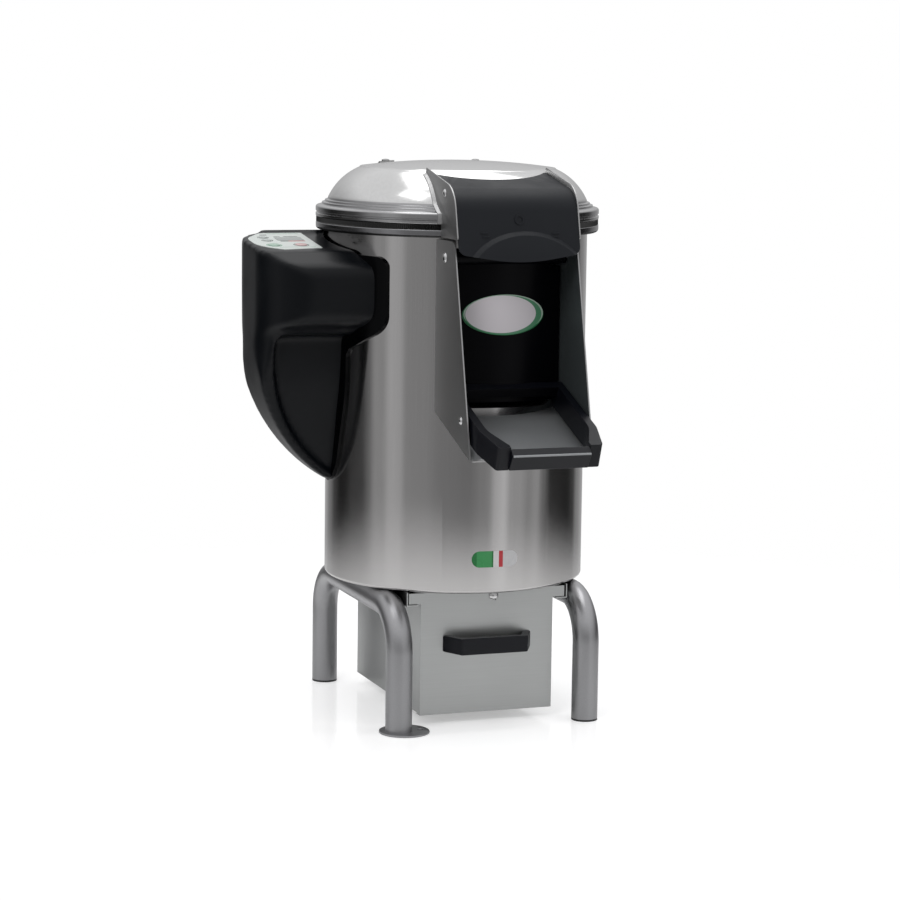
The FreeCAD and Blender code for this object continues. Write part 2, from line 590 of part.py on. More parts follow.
RIVET_TOP = 841.6
rivet = Part.makeSphere(14, Vector(STRAP_X, 125, RIVET_TOP - 14)).common(rod(6, 836.6, 860, STRAP_X, 125))
right_strap = strap().fuse(rivet)
keep("hinge_straps", group([right_strap, mirrored(right_strap)]))

ear_line = [(150, 692), (205, 692), (222, 708, 10), (244, 735, 8), (244, 769, 10), (222, 769, 10),
            (222, 734, 2), (150, 734)]
bracket = tube(DRUM_R + 3.2, DRUM_R + 0.2, 690, 734).common(box((-96, 96), (100, 260), (600, 800)))
for x in (-STRAP_X - 15.5, -STRAP_X + 12.5, STRAP_X - 15.5, STRAP_X + 12.5):
    bracket = bracket.fuse(across(ear_line, x, x + 3).cut(rod(DRUM_R + 0.2, 600, 800)))
keep("hinge_bracket", bracket.cut(cross_rod(PIN_R + 0.02, -120, 120, HINGE_Y, HINGE_Z)))
pin_end = STRAP_X + 19
hinge_pin = fused(cross_rod(PIN_R, -pin_end, pin_end, HINGE_Y, HINGE_Z),
                  cross_rod(6.5, -pin_end - 2, -pin_end + 2, HINGE_Y, HINGE_Z),
                  cross_rod(6.5, pin_end - 2, pin_end + 2, HINGE_Y, HINGE_Z))
keep("hinge_pin", hinge_pin)


# Control box: a moulded cover, wide above for the electrics and narrow below where
# the cables run down, with a belly that curves in to the drum.
BELLY_R = 250.0
HUMP_Z = 735.5
panel_rise = math.tan(math.radians(PANEL_SLOPE))


def panel_height(y):
    return PANEL_Z + panel_rise * y


def cover_side(inset):
    return along_y([(-150, 760), (BOX_X + inset, 760), (BOX_X + inset, 434.3, BELLY_R),
                    (-190 + inset * 0.5, 347 + inset), (-150, 347 + inset)], -160, 160)


def upper_case(inset):
    front, rear = BOX_FRONT + inset, BOX_REAR - inset
    case = across([(front, panel_height(-72) - 23 - inset, 26), (-74, panel_height(-74) - inset, 8),
                   (74 - inset, panel_height(74) - inset, 2), (76 - inset, HUMP_Z - inset, 1.5),
                   (rear, HUMP_Z - inset, 8), (rear, 608 + inset, 26), (45, 580 + inset),
                   (-35, 580 + inset), (front, 608 + inset, 26)], -345, -150)
    plan = upright([(-150, front), (BOX_X + inset, front, 42 - inset), (BOX_X + inset, rear, 60 - inset),
                    (-150, rear)], 500, 800)
    return case.common(plan).common(cover_side(inset))


def lower_case(inset):
    tip = 361 + inset
    case = across([(-46 + inset, 640), (-46 + inset, 560), (-43 + inset, 520, 400), (-19 + inset, 392, 60),
                   (-7 + inset * 0.5, tip, 13), (17 - inset * 0.5, tip, 13), (29 - inset, 392, 60),
                   (53 - inset, 520, 400), (56 - inset, 560), (56 - inset, 640)], -345, -150)
    return case.common(cover_side(inset))


cover = upper_case(0).fuse(lower_case(0))
cavity = upper_case(BOX_WALL).fuse(lower_case(BOX_WALL))
cover = cover.cut(cavity).cut(rod(DRUM_R + 5, 300, 800))

GLAND = (-272.0, 640.0)
GLAND_R = 5.0
gland_x, gland_z = GLAND
cover = cover.cut(rear_rod(10.2, 70, 100, gland_z, gland_x))
hexagon = [(gland_x + 15 * math.cos(math.radians(60 * i)), gland_z + 15 * math.sin(math.radians(60 * i)))
           for i in range(6)]
gland = fused(rear_rod(10, 74, 92, gland_z, gland_x), along_y(hexagon, BOX_REAR + 0.1, 93),
              rear_rod(11.5, 93, 104, gland_z, gland_x))
keep("cable_gland", gland.cut(rear_rod(GLAND_R, 60, 120, gland_z, gland_x)))


# A moulded edge follows the cover's foot round the drum.
def edge_plan(grow):
    return across([(BOX_FRONT - grow, 706, 16), (-36, 708.5), (38, 714, 12), (60, 734.5, 10),
                   (BOX_REAR + grow, 734.5, 8), (BOX_REAR + grow, 598, 34), (58 + grow * 0.6, 560, 20),
                   (52 + grow, 500, 300), (26 + grow, 385, 60), (5, 353 - grow, 30), (-16 - grow, 385, 60),
                   (-42 - grow, 500, 300), (-48 - grow * 0.6, 560, 20), (BOX_FRONT - grow, 598, 34)],
                  -260, -60)


edge_ring = tube(DRUM_R + 4.8, DRUM_R + 0.2, 300, 734.6).common(edge_plan(16))
edge_hole = cavity.common(rod(DRUM_R + 20, 300, 800))
keep("cover_edge", edge_ring.cut(edge_hole))


# The key panel lies on the cover's sloping top.
def on_panel(shape):
    shape.rotate(Vector(0, 0, 0), Vector(1, 0, 0), PANEL_SLOPE)
    return shape.translated(Vector(0, 0, PANEL_Z))


label = upright([(-330, -60, 12), (-318, -73, 6), (-230, -46, 6), (-230, 73, 6), (-310, 73, 12),
                 (-330, 48, 10)], 0.05, 0.9)
KEYS = {"start_key": (-300, -28, 9.0), "stop_key": (-258, -28, 9.0),
        "timer_up_key": (-300, 10, 6.0), "timer_down_key": (-300, 34, 6.0)}
for name, (x, y, radius) in KEYS.items():
    hole = on_panel(rod(radius + 0.4, -12, 5, x, y))
    cover = cover.cut(hole)
    label = label.cut(rod(radius + 0.4, -1, 3, x, y))
    stem = fused(rod(radius, -2, 2.2, x, y), rod(radius + 1.5, -6.5, -4.6, x, y), rod(radius, -5, -1, x, y))
    keep(name, on_panel(stem))
window_hole = [(-284, 8, 3), (-242, 8, 3), (-242, 34, 3), (-284, 34, 3)]
label = label.cut(upright(window_hole, -1, 3))
keep("display_window", on_panel(upright(window_hole, 0.05, 1.4)))
keep("control_label", on_panel(label))
keep("control_cover", cover)
keep("key_board", on_panel(box((-322, -216), (-46, 52), (-12, -10.4))))

# Electrics inside the cover, on a plate stood off from the drum.
electrics_plate = box((-214, -212), (-88, 62), (612, 700))
for y in (-70, 45):
    electrics_plate = electrics_plate.fuse(cross_rod(5, -213, -150, y, 690))
electrics_plate = electrics_plate.cut(rod(DRUM_R + 0.1, 500, 800))
keep("electrics_plate", electrics_plate)
contactor = box((-280, -214), (-78, -32), (620, 690)).fuse(box((-292, -279), (-72, -38), (632, 678)))
for z in (626, 684):
    for y in (-68, -55, -42):
        contactor = contactor.cut(Part.makeCylinder(4, 8, Vector(-281, y, z), Vector(1, 0, 0)))
keep("contactor", contactor)
terminal_block = box((-240, -214), (-22, 22), (640, 668))
for i in range(5):
    notch = Part.makeCylinder(2.6, 12, Vector(-242, -17 + 8.5 * i, 654), Vector(1, 0, 0))
    terminal_block = terminal_block.cut(notch)
keep("terminal_block", terminal_block)
capacitor = turned([(0, 616), (19, 616, 3), (19, 690, 3), (0, 690)]).translated(Vector(-236, 44, 0))
keep("run_capacitor", capacitor)
# Peel drawer: a folded tray, a front with hemmed sides, a slotted basket inside.
tray = box((-DRAWER_X, DRAWER_X), (DRAWER_FRONT + 2, DRAWER_BACK), (DRAWER_Z, FLANGE_Z + 2))
inner = box((-DRAWER_X + SHEET, DRAWER_X - SHEET), (DRAWER_FRONT + 4, DRAWER_BACK - SHEET),
            (DRAWER_Z + SHEET, 250))
flange_x = RAIL_X - 4
flanges = box((-flange_x, flange_x), (DRAWER_FRONT + 2, DRAWER_BACK - 5), (FLANGE_Z, FLANGE_Z + 2))
OUTLET_Y = 60.0
OUTLET_R = 22.0
tray = fused(tray, flanges, rod(OUTLET_R, 4, DRAWER_Z + 1, 0, OUTLET_Y)).cut(inner)
tray = tray.cut(rod(OUTLET_R - SHEET, 0, DRAWER_Z + 10, 0, OUTLET_Y))
keep("drawer_tray", tray)

front_x = DRAWER_X + 2.6
front = along_y([(-front_x, DRAWER_Z - 0.3), (front_x, DRAWER_Z - 0.3), (front_x, FLANGE_Z + 0.2),
                 (flange_x, FLANGE_Z + 0.2), (flange_x, 203.7), (-flange_x, 203.7),
                 (-flange_x, FLANGE_Z + 0.2), (-front_x, FLANGE_Z + 0.2)], DRAWER_FRONT, DRAWER_FRONT + 2)
for x in (-front_x, DRAWER_X + 0.4):
    hem = box((x, x + 2.2), (DRAWER_FRONT, DRAWER_FRONT + 14), (DRAWER_Z - 0.3, FLANGE_Z - 0.3))
    front = front.fuse(hem)
keep("drawer_front", front)

HANDLE_Z = (112.0, 137.0)
handle = upright([(-71, DRAWER_FRONT - 0.1), (-53, -192, 5), (53, -192, 5), (71, DRAWER_FRONT - 0.1)],
                 *HANDLE_Z)
grip_gap = upright([(-58, DRAWER_FRONT + 2), (-46, -180, 6), (46, -180, 6), (58, DRAWER_FRONT + 2)],
                   HANDLE_Z[0] - 1, HANDLE_Z[1] + 1)
keep("drawer_handle", handle.cut(grip_gap))
catch = Part.makeSphere(9.5, Vector(10, DRAWER_FRONT + 4, 194))
catch = catch.common(Part.makeCylinder(7, 10, Vector(10, DRAWER_FRONT - 0.1, 194), Vector(0, -1, 0)))
keep("drawer_catch", catch)

basket_x = DRAWER_X - 6
basket_y = (DRAWER_FRONT + 8, DRAWER_BACK - 10)
basket = box((-basket_x, basket_x), basket_y, (30, FLANGE_Z - 5))
basket = basket.cut(box((-basket_x + 1.5, basket_x - 1.5), (basket_y[0] + 1.5, basket_y[1] - 1.5), (31.5, 250)))
for i in range(11):
    y = basket_y[0] + 20 + 25.2 * i
    basket = basket.cut(box((-basket_x + 14, -6), (y - 4, y + 4), (20, 40)))
    basket = basket.cut(box((6, basket_x - 14), (y - 4, y + 4), (20, 40)))
for i in range(9):
    y = basket_y[0] + 26 + 30.5 * i
    basket = basket.cut(box((-120, 120), (y - 4, y + 4), (52, 150)))
feet = [box((x, x + 6), basket_y, (DRAWER_Z + SHEET + 0.1, 30)) for x in (-basket_x, basket_x - 6)]
keep("filter_basket", basket.multiFuse(feet))

os.makedirs("parts", exist_ok=True)
for name, shape in parts.items():
    shape.exportStep("parts/" + name + ".step")
print(len(parts), "parts")
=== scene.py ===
import json
import math

import bpy
from mathutils import Matrix, Vector

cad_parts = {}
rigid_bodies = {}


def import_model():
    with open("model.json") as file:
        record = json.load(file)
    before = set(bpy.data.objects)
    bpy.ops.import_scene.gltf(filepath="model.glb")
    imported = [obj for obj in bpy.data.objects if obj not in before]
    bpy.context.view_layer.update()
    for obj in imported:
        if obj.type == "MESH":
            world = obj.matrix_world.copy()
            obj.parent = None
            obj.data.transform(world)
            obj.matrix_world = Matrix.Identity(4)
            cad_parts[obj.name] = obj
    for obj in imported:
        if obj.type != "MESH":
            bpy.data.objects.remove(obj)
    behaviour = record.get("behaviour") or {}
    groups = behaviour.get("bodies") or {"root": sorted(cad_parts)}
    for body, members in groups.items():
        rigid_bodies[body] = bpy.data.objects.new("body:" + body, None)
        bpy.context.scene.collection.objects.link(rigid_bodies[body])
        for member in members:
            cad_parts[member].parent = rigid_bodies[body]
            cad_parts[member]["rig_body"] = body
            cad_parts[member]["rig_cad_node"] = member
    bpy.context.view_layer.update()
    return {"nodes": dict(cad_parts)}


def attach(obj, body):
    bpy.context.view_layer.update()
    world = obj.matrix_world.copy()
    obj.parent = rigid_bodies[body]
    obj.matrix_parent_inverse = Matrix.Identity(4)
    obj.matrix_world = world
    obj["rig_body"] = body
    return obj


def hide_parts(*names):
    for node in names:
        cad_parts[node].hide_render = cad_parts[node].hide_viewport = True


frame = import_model()

# The camera stands well in front of the machine and to its left, a little above the
# chute's height, and looks slightly down along a long lens.
CAMERA_PLACE = Vector((-1.4601, -4.0086, 0.9950))
CAMERA_TURN = math.radians(-19.93)
CAMERA_RISE = math.radians(8.0)
CAMERA_ROLL = math.radians(0.76)
LENS_MM = 110.84

level = Vector((math.cos(CAMERA_TURN), math.sin(CAMERA_TURN), 0))
back = Vector((level.y * math.cos(CAMERA_RISE), -level.x * math.cos(CAMERA_RISE), math.sin(CAMERA_RISE)))
upward = back.cross(level)
right = level * math.cos(CAMERA_ROLL) + upward * math.sin(CAMERA_ROLL)
top = upward * math.cos(CAMERA_ROLL) - level * math.sin(CAMERA_ROLL)

bpy.ops.object.camera_add()
camera = bpy.context.object
camera.matrix_world = Matrix.Translation(CAMERA_PLACE) @ Matrix((right, top, back)).transposed().to_4x4()
camera.data.lens = LENS_MM
camera.data.sensor_width = 36.0
camera.data.clip_start = 0.1
bpy.context.scene.camera = camera
bpy.context.scene.view_settings.view_transform = "Standard"


# A white photo studio. Tall soft panels and gaps between them stand round the machine
# and show as upright bands in its round steel walls. Each has a bearing in degrees
# from the camera's line, and a brightness.
PANELS = [(-180, 0.49), (-162, 0.41), (-146, 0.23), (-133, 0.06), (-122, 0.01), (-112, 0.02),
          (-104, 0.05), (-90, 0.06), (-82, 0.17), (-75, 0.36), (-67, 0.34), (-59, 0.51), (-50, 0.48),
          (-43, 0.31), (-28, 0.30), (-10, 0.24), (14, 0.21), (24, 0.27), (31, 0.29), (38, 0.56),
          (46, 0.67), (52, 0.41), (62, 0.41), (70, 0.31), (79, 0.39), (88, 0.18), (97, 0.03),
          (122, 0.02), (134, 0.06), (144, 0.28), (164, 0.41), (180, 0.49)]
ROOM_LIGHT = 0.62
CEILING = (0.86, 0.86, 0.87, 1)
CEILING_FROM, CEILING_TO = 0.04, 0.55

world = bpy.data.worlds.new("white studio")
bpy.context.scene.world = world
world.use_nodes = True
sky = world.node_tree
sky.nodes.clear()


def add_node(tree, kind, values=None, **settings):
    """A new shader node with these settings, and these values on its input sockets."""
    made = tree.nodes.new(kind)
    for key, value in settings.items():
        setattr(made, key, value)
    for socket, value in (values or {}).items():
        made.inputs[socket].default_value = value
    return made


def wire(tree, *pairs):
    """Links each pair of an output socket and an input socket."""
    for start, end in pairs:
        tree.links.new(start, end)


def fill_ramp(ramp, stops):
    """Gives a colour ramp its stops, each a place from 0 to 1 and a colour."""
    elements = ramp.color_ramp.elements
    for i, (place, colour) in enumerate(stops):
        stop = elements[i] if i < 2 else elements.new(place)
        stop.position = place
    for i, (place, colour) in enumerate(stops):
        elements[i].color = (*colour, 1)


ray = add_node(sky, "ShaderNodeTexCoord")
turned = add_node(sky, "ShaderNodeVectorRotate", {"Angle": math.pi / 2 - CAMERA_TURN}, rotation_type="Z_AXIS")
parts_of_ray = add_node(sky, "ShaderNodeSeparateXYZ")
bearing = add_node(sky, "ShaderNodeMath", operation="ARCTAN2")
share = add_node(sky, "ShaderNodeMapRange", {"From Min": -math.pi, "From Max": math.pi})
bands = add_node(sky, "ShaderNodeValToRGB")
bands.color_ramp.interpolation = "EASE"
fill_ramp(bands, [((angle + 180) / 360, (light, light, light * 1.01)) for angle, light in PANELS])
rise = add_node(sky, "ShaderNodeMapRange", {"From Min": CEILING_FROM, "From Max": CEILING_TO})
overhead = add_node(sky, "ShaderNodeMix", {7: CEILING}, data_type="RGBA")
ray_kind = add_node(sky, "ShaderNodeLightPath")
mirrored_or_not = add_node(sky, "ShaderNodeMix", {6: (ROOM_LIGHT, ROOM_LIGHT, ROOM_LIGHT, 1)},
                           data_type="RGBA")
seen_or_not = add_node(sky, "ShaderNodeMix", {7: (1, 1, 1, 1)}, data_type="RGBA")
seen = add_node(sky, "ShaderNodeMath", operation="MAXIMUM")
glow = add_node(sky, "ShaderNodeBackground")
sky_out = add_node(sky, "ShaderNodeOutputWorld")
wire(sky, (ray.outputs["Generated"], turned.inputs["Vector"]),
     (turned.outputs["Vector"], parts_of_ray.inputs[0]),
     (parts_of_ray.outputs["Y"], bearing.inputs[0]), (parts_of_ray.outputs["X"], bearing.inputs[1]),
     (bearing.outputs[0], share.inputs["Value"]), (share.outputs[0], bands.inputs[0]),
     (parts_of_ray.outputs["Z"], rise.inputs["Value"]), (rise.outputs[0], overhead.inputs[0]),
     (bands.outputs[0], overhead.inputs[6]), (ray_kind.outputs["Is Glossy Ray"], mirrored_or_not.inputs[0]),
     (overhead.outputs[2], mirrored_or_not.inputs[7]), (ray_kind.outputs["Is Camera Ray"], seen.inputs[0]),
     (ray_kind.outputs["Is Transmission Ray"], seen.inputs[1]), (seen.outputs[0], seen_or_not.inputs[0]),
     (mirrored_or_not.outputs[2], seen_or_not.inputs[6]), (seen_or_not.outputs[2], glow.inputs["Color"]),
     (glow.outputs[0], sky_out.inputs["Surface"]))


# Four soft boxes: a large one high on the left, a tall narrow one on the right, a wide
# one overhead, and a small one whose mirror image is the spot of light on the lid.
def soft_box(name, place, aim, size, watts):
    """A rectangular area light that faces a point."""
    bpy.ops.object.light_add(type="AREA", location=place)
    lamp = bpy.context.object
    lamp.name = name
    lamp.rotation_euler = (Vector(aim) - Vector(place)).to_track_quat("-Z", "Y").to_euler()
    lamp.data.shape = "RECTANGLE"
    lamp.data.size, lamp.data.size_y = size
    lamp.data.energy = watts


soft_box("key_light", (-2.3, -2.2, 2.7), (0, 0, 0.45), (1.3, 1.3), 34)
soft_box("side_light", (2.6, -1.6, 1.5), (0, 0, 0.4), (0.5, 1.8), 12)
soft_box("top_light", (0.2, 0.3, 3.0), (0, 0, 0.4), (2.2, 2.2), 24)
soft_box("spot_light", (-1.26, -0.36, 2.68), (-0.12, -0.14, 0.81), (0.8, 0.5), 2.4)
for name in ("key_light", "side_light"):
    bpy.data.objects[name].visible_glossy = False

# The floor is a smooth white sheet that fades into the white backdrop, and shows the
# machine's soft shadow and a faint reflection of its feet.
FLOOR_R = 3.2
FLOOR_LIFT = 0.38
FADE_FROM, FADE_TO = 0.55, 1.5


def new_material(name, values):
    """A material, and its surface shader with these values."""
    material = bpy.data.materials.new(name)
    material.use_nodes = True
    surface = material.node_tree.nodes["Principled BSDF"]
    for socket, value in values.items():
        surface.inputs[socket].default_value = value
    return material, surface


bpy.ops.mesh.primitive_circle_add(vertices=96, radius=FLOOR_R, fill_type="NGON")
floor = bpy.context.object
floor.name = "studio_floor"
floor_paint, gloss = new_material("white floor", {
    "Base Color": (0.94, 0.94, 0.945, 1), "Roughness": 0.12, "Specular IOR Level": 0.3,
    "Emission Color": (1, 1, 1, 1)})
tree = floor_paint.node_tree
spot = add_node(tree, "ShaderNodeTexCoord")
reach = add_node(tree, "ShaderNodeVectorMath", operation="LENGTH")
fade = add_node(tree, "ShaderNodeMapRange", {"From Min": FADE_FROM, "From Max": FADE_TO},
                interpolation_type="SMOOTHSTEP")
clear = add_node(tree, "ShaderNodeBsdfTransparent")
floor_mix = add_node(tree, "ShaderNodeMixShader")
looked_at = add_node(tree, "ShaderNodeLightPath")
lift = add_node(tree, "ShaderNodeMath", {1: FLOOR_LIFT}, operation="MULTIPLY")
wire(tree, (looked_at.outputs["Is Camera Ray"], lift.inputs[0]),
     (lift.outputs[0], gloss.inputs["Emission Strength"]),
     (spot.outputs["Object"], reach.inputs[0]), (reach.outputs["Value"], fade.inputs["Value"]),
     (fade.outputs[0], floor_mix.inputs[0]), (gloss.outputs[0], floor_mix.inputs[1]),
     (clear.outputs[0], floor_mix.inputs[2]),
     (floor_mix.outputs[0], tree.nodes["Material Output"].inputs["Surface"]))
floor.data.materials.append(floor_paint)


# The drum: one sheet of stainless steel, rolled and seam-welded, with its foot curled
# in under the base and a window cut at the front for the potatoes to leave by.
DRUM_R, SHEET = 0.200, 0.002
DRUM_FOOT, DRUM_TOP = 0.206, 0.738
WINDOW_LOW, WINDOW_HIGH, WINDOW_CORNER = (-0.084, 0.486), (0.084, 0.700), 0.014
INLET_R, INLET_HEIGHT = 0.0134, 0.650
WELD = 0.00001


def rounded(corners, steps=6):
    """An outline's points: a corner (u, v, radius) becomes an arc, and (u, v) stays sharp."""
    points = []
    for i, (u, v, *radius) in enumerate(corners):
        here = Vector((u, v))
        if not radius:
            points.append(here)
            continue
        before = (Vector(corners[i - 1][:2]) - here).normalized()
        after = (Vector(corners[(i + 1) % len(corners)][:2]) - here).normalized()
        half = before.angle(after) / 2
        centre = here + (before + after).normalized() * radius[0] / math.sin(half)
        arm = here + before * radius[0] / math.tan(half) - centre
        sweep = (math.pi - 2 * half) * (1 if before.cross(after) < 0 else -1)
        points += [centre + Matrix.Rotation(sweep * k / steps, 2) @ arm for k in range(steps + 1)]
    return points


def rectangle(low, high, *radius):
    """A rectangle's corners, from its low (u, v) and its high (u, v) corner."""
    return [(low[0], low[1], *radius), (high[0], low[1], *radius), (high[0], high[1], *radius),
            (low[0], high[1], *radius)]


def on_plane(points, plane, at=0.0):
    """Outline points (u, v) placed on the plane XY, XZ or YZ."""
    if plane == "XY":
        return [Vector((u, v, at)) for u, v in points]
    if plane == "XZ":
        return [Vector((u, at, v)) for u, v in points]
    return [Vector((at, u, v)) for u, v in points]


def alone(piece):
    """Selects one object and no other, and makes it the active one."""
    bpy.ops.object.select_all(action="DESELECT")
    piece.select_set(True)
    bpy.context.view_layer.objects.active = piece


def pencil(name, points, closed=True):
    """A chain of edges drawn from one vertex by extruding it from point to point."""
    bpy.ops.object.select_all(action="DESELECT")
    bpy.ops.mesh.primitive_plane_add(size=0.01)
    piece = bpy.context.object
    piece.name = piece.data.name = name
    bpy.ops.object.mode_set(mode="EDIT")
    bpy.ops.mesh.merge(type="CENTER")
    bpy.ops.transform.translate(value=points[0])
    path = list(points) + [points[0]] * closed
    for start, end in zip(path, path[1:]):
        bpy.ops.mesh.extrude_vertices_move(TRANSFORM_OT_translate={"value": end - start})
    bpy.ops.mesh.select_all(action="SELECT")
    bpy.ops.mesh.remove_doubles(threshold=WELD)
    return piece


def close_edit():
    """Merges doubles, turns all faces outwards and leaves edit mode."""
    bpy.ops.mesh.select_all(action="SELECT")
    bpy.ops.mesh.remove_doubles(threshold=WELD)
    bpy.ops.mesh.normals_make_consistent(inside=False)
    bpy.ops.object.mode_set(mode="OBJECT")


def lathe(name, corners, steps=192, closed=True, arc_steps=5):
    """A section (radius, height) spun round the drum's axis."""
    piece = pencil(name, on_plane(rounded(corners, arc_steps), "XZ"), closed)
    bpy.ops.mesh.spin(steps=steps, angle=2 * math.pi, center=(0, 0, 0), axis=(0, 0, 1))
    close_edit()
    return piece


def plate(name, corners, plane, low, high, arc_steps=6):
    """A filled outline on a plane, pushed out from one offset to another."""
    push = {"XY": (0, 0, 1), "XZ": (0, 1, 0), "YZ": (1, 0, 0)}[plane]
    piece = pencil(name, on_plane(rounded(corners, arc_steps), plane, low))
    bpy.ops.mesh.edge_face_add()
    bpy.ops.mesh.extrude_region_move(TRANSFORM_OT_translate={"value": Vector(push) * (high - low)})
    close_edit()
    return piece


def apply(piece, kind_of_modifier, **settings):
    """Adds a modifier with these settings and applies it."""
    alone(piece)
    modifier = piece.modifiers.new(kind_of_modifier.lower(), kind_of_modifier)
    for key, value in settings.items():
        setattr(modifier, key, value)
    bpy.ops.object.modifier_apply(modifier=modifier.name)


def cut(piece, cutter, operation="DIFFERENCE"):
    """Cuts one solid with another, which is used up."""
    apply(piece, "BOOLEAN", object=cutter, operation=operation, solver="EXACT")
    bpy.data.objects.remove(cutter)


def smooth(piece, degrees=35):
    """Shades a piece smooth, but for edges that are sharper than an angle."""
    alone(piece)
    bpy.ops.object.shade_smooth_by_angle(angle=math.radians(degrees))


def fit(piece, body, slot_name, material, *nodes):
    """Gives a finished piece its material, says what body it rides on, and hides the nodes that it stands in
    for.
    """
    piece.data.materials.clear()
    piece.data.materials.append(material)
    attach(piece, body)
    if nodes:
        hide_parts(*nodes)


def repaint(piece, material, is_painted):
    """Gives a piece's faces that pass a test one more material."""
    piece.data.materials.append(material)
    for face in piece.data.polygons:
        if is_painted(face):
            face.material_index = len(piece.data.materials) - 1


def node_group(name, takes, gives):
    """A shader node group with these input and output sockets, and its two end nodes."""
    group = bpy.data.node_groups.new(name, "ShaderNodeTree")
    for in_out, sockets in (("INPUT", takes), ("OUTPUT", gives)):
        for label, kind in sockets.items():
            group.interface.new_socket(label, in_out=in_out, socket_type="NodeSocket" + kind)
    return group, add_node(group, "NodeGroupInput"), add_node(group, "NodeGroupOutput")


def brushed_grain():
    """Long fine scratches and faint smudges, as a mill's belt leaves them on sheet steel."""
    group, given, sent = node_group(
        "brushed grain", {"Fineness": "Vector", "Tone": "Color", "Roughness": "Float"},
        {"Colour": "Color", "Roughness": "Float", "Height": "Float"})
    place = add_node(group, "ShaderNodeTexCoord")
    stretch = add_node(group, "ShaderNodeVectorMath", operation="MULTIPLY")
    lines = add_node(group, "ShaderNodeTexNoise", {"Scale": 1.0, "Detail": 3.0})
    smudge = add_node(group, "ShaderNodeTexNoise", {"Scale": 9.0, "Detail": 4.0})
    tint = add_node(group, "ShaderNodeMapRange", {"To Min": 0.92, "To Max": 1.06})
    shade = add_node(group, "ShaderNodeVectorMath", operation="SCALE")
    blur = add_node(group, "ShaderNodeMapRange",
                    {"From Min": 0.3, "From Max": 0.7, "To Min": -0.03, "To Max": 0.04})
    both = add_node(group, "ShaderNodeMath", operation="ADD", use_clamp=True)
    wire(group, (place.outputs["Object"], stretch.inputs[0]), (given.outputs["Fineness"], stretch.inputs[1]),
         (stretch.outputs[0], lines.inputs["Vector"]), (place.outputs["Object"], smudge.inputs["Vector"]),
         (lines.outputs["Fac"], tint.inputs["Value"]), (given.outputs["Tone"], shade.inputs[0]),
         (tint.outputs[0], shade.inputs["Scale"]), (shade.outputs[0], sent.inputs["Colour"]),
         (smudge.outputs["Fac"], blur.inputs["Value"]), (blur.outputs[0], both.inputs[0]),
         (given.outputs["Roughness"], both.inputs[1]), (both.outputs[0], sent.inputs["Roughness"]),
         (lines.outputs["Fac"], sent.inputs["Height"]))
    return group


BRUSHED = brushed_grain()


def textured(name, group, strength, depth, values, given):
    """A material whose colour, roughness and bump come from a group with these inputs."""
    material, surface = new_material(name, values)
    tree = material.node_tree
    grain = add_node(tree, "ShaderNodeGroup", given, node_tree=group)
    bump = add_node(tree, "ShaderNodeBump", {"Strength": strength, "Distance": depth})
    wire(tree, (grain.outputs["Colour"], surface.inputs["Base Color"]),
         (grain.outputs["Roughness"], surface.inputs["Roughness"]),
         (grain.outputs["Height"], bump.inputs["Height"]), (bump.outputs[0], surface.inputs["Normal"]))
    return material


def steel(name, tone, roughness, fineness, depth=0.00002, metallic=1.0):
    """Brushed stainless steel. Fineness is the number of scratches a metre along X, Y, Z."""
    return textured(name, BRUSHED, 0.25, depth, {"Metallic": metallic},
                    {"Fineness": fineness, "Tone": (*tone, 1), "Roughness": roughness})


UPRIGHT_GRAIN = (1500, 1500, 9)
steel_drum = steel("drum steel", (0.575, 0.565, 0.56), 0.12, UPRIGHT_GRAIN)

drum = lathe("drum", [(DRUM_R - 0.008, DRUM_FOOT), (DRUM_R, DRUM_FOOT, 0.005), (DRUM_R, DRUM_TOP),
                      (DRUM_R - SHEET, DRUM_TOP), (DRUM_R - SHEET, DRUM_FOOT + 0.002),
                      (DRUM_R - 0.008, DRUM_FOOT + 0.002)])
cut(drum, plate("window", rectangle(WINDOW_LOW, WINDOW_HIGH, WINDOW_CORNER), "XZ", -0.26, -0.10))
bpy.ops.mesh.primitive_cylinder_add(vertices=48, radius=INLET_R, depth=0.08, location=(0, 0.2, INLET_HEIGHT),
                                    rotation=(math.pi / 2, 0, 0))
cut(drum, bpy.context.object)
smooth(drum)
fit(drum, "chassis", "brushed_sheet", steel_drum, "drum_shell")

# The folded rim is spot-welded round the drum's mouth, and the lid's bead closes down on it. Its lower edge
# is painted black as the shadow in the gap under the rim's fold.
RIM_R, RIM_TOP = 0.217, 0.7495
SHADOW_BAND_R, SHADOW_BAND_TOP = 0.21, 0.7408
rim = lathe("rim", [(RIM_R - 0.0022, 0.7465), (0.191, 0.7465), (0.191, RIM_TOP), (RIM_R, RIM_TOP, 0.0015),
                    (RIM_R, DRUM_TOP, 0.005), (0.2001, DRUM_TOP), (0.2001, DRUM_TOP + 0.002),
                    (RIM_R - 0.0022, DRUM_TOP + 0.002, 0.003)])
smooth(rim)
steel_rim = steel("rim steel", (0.30, 0.30, 0.31), 0.17, (300, 300, 60))
fit(rim, "chassis", "brushed_sheet", steel_rim, "drum_rim")
# Painted shadow: the rim's lower edge is coloured black for the shade under its fold.
painted_shadow_band = new_material("rim painted shadow", {"Base Color": (0.002, 0.002, 0.002, 1)})[0]
repaint(rim, painted_shadow_band, lambda face: face.center.z < SHADOW_BAND_TOP and face.center.xy.length > SHADOW_BAND_R)


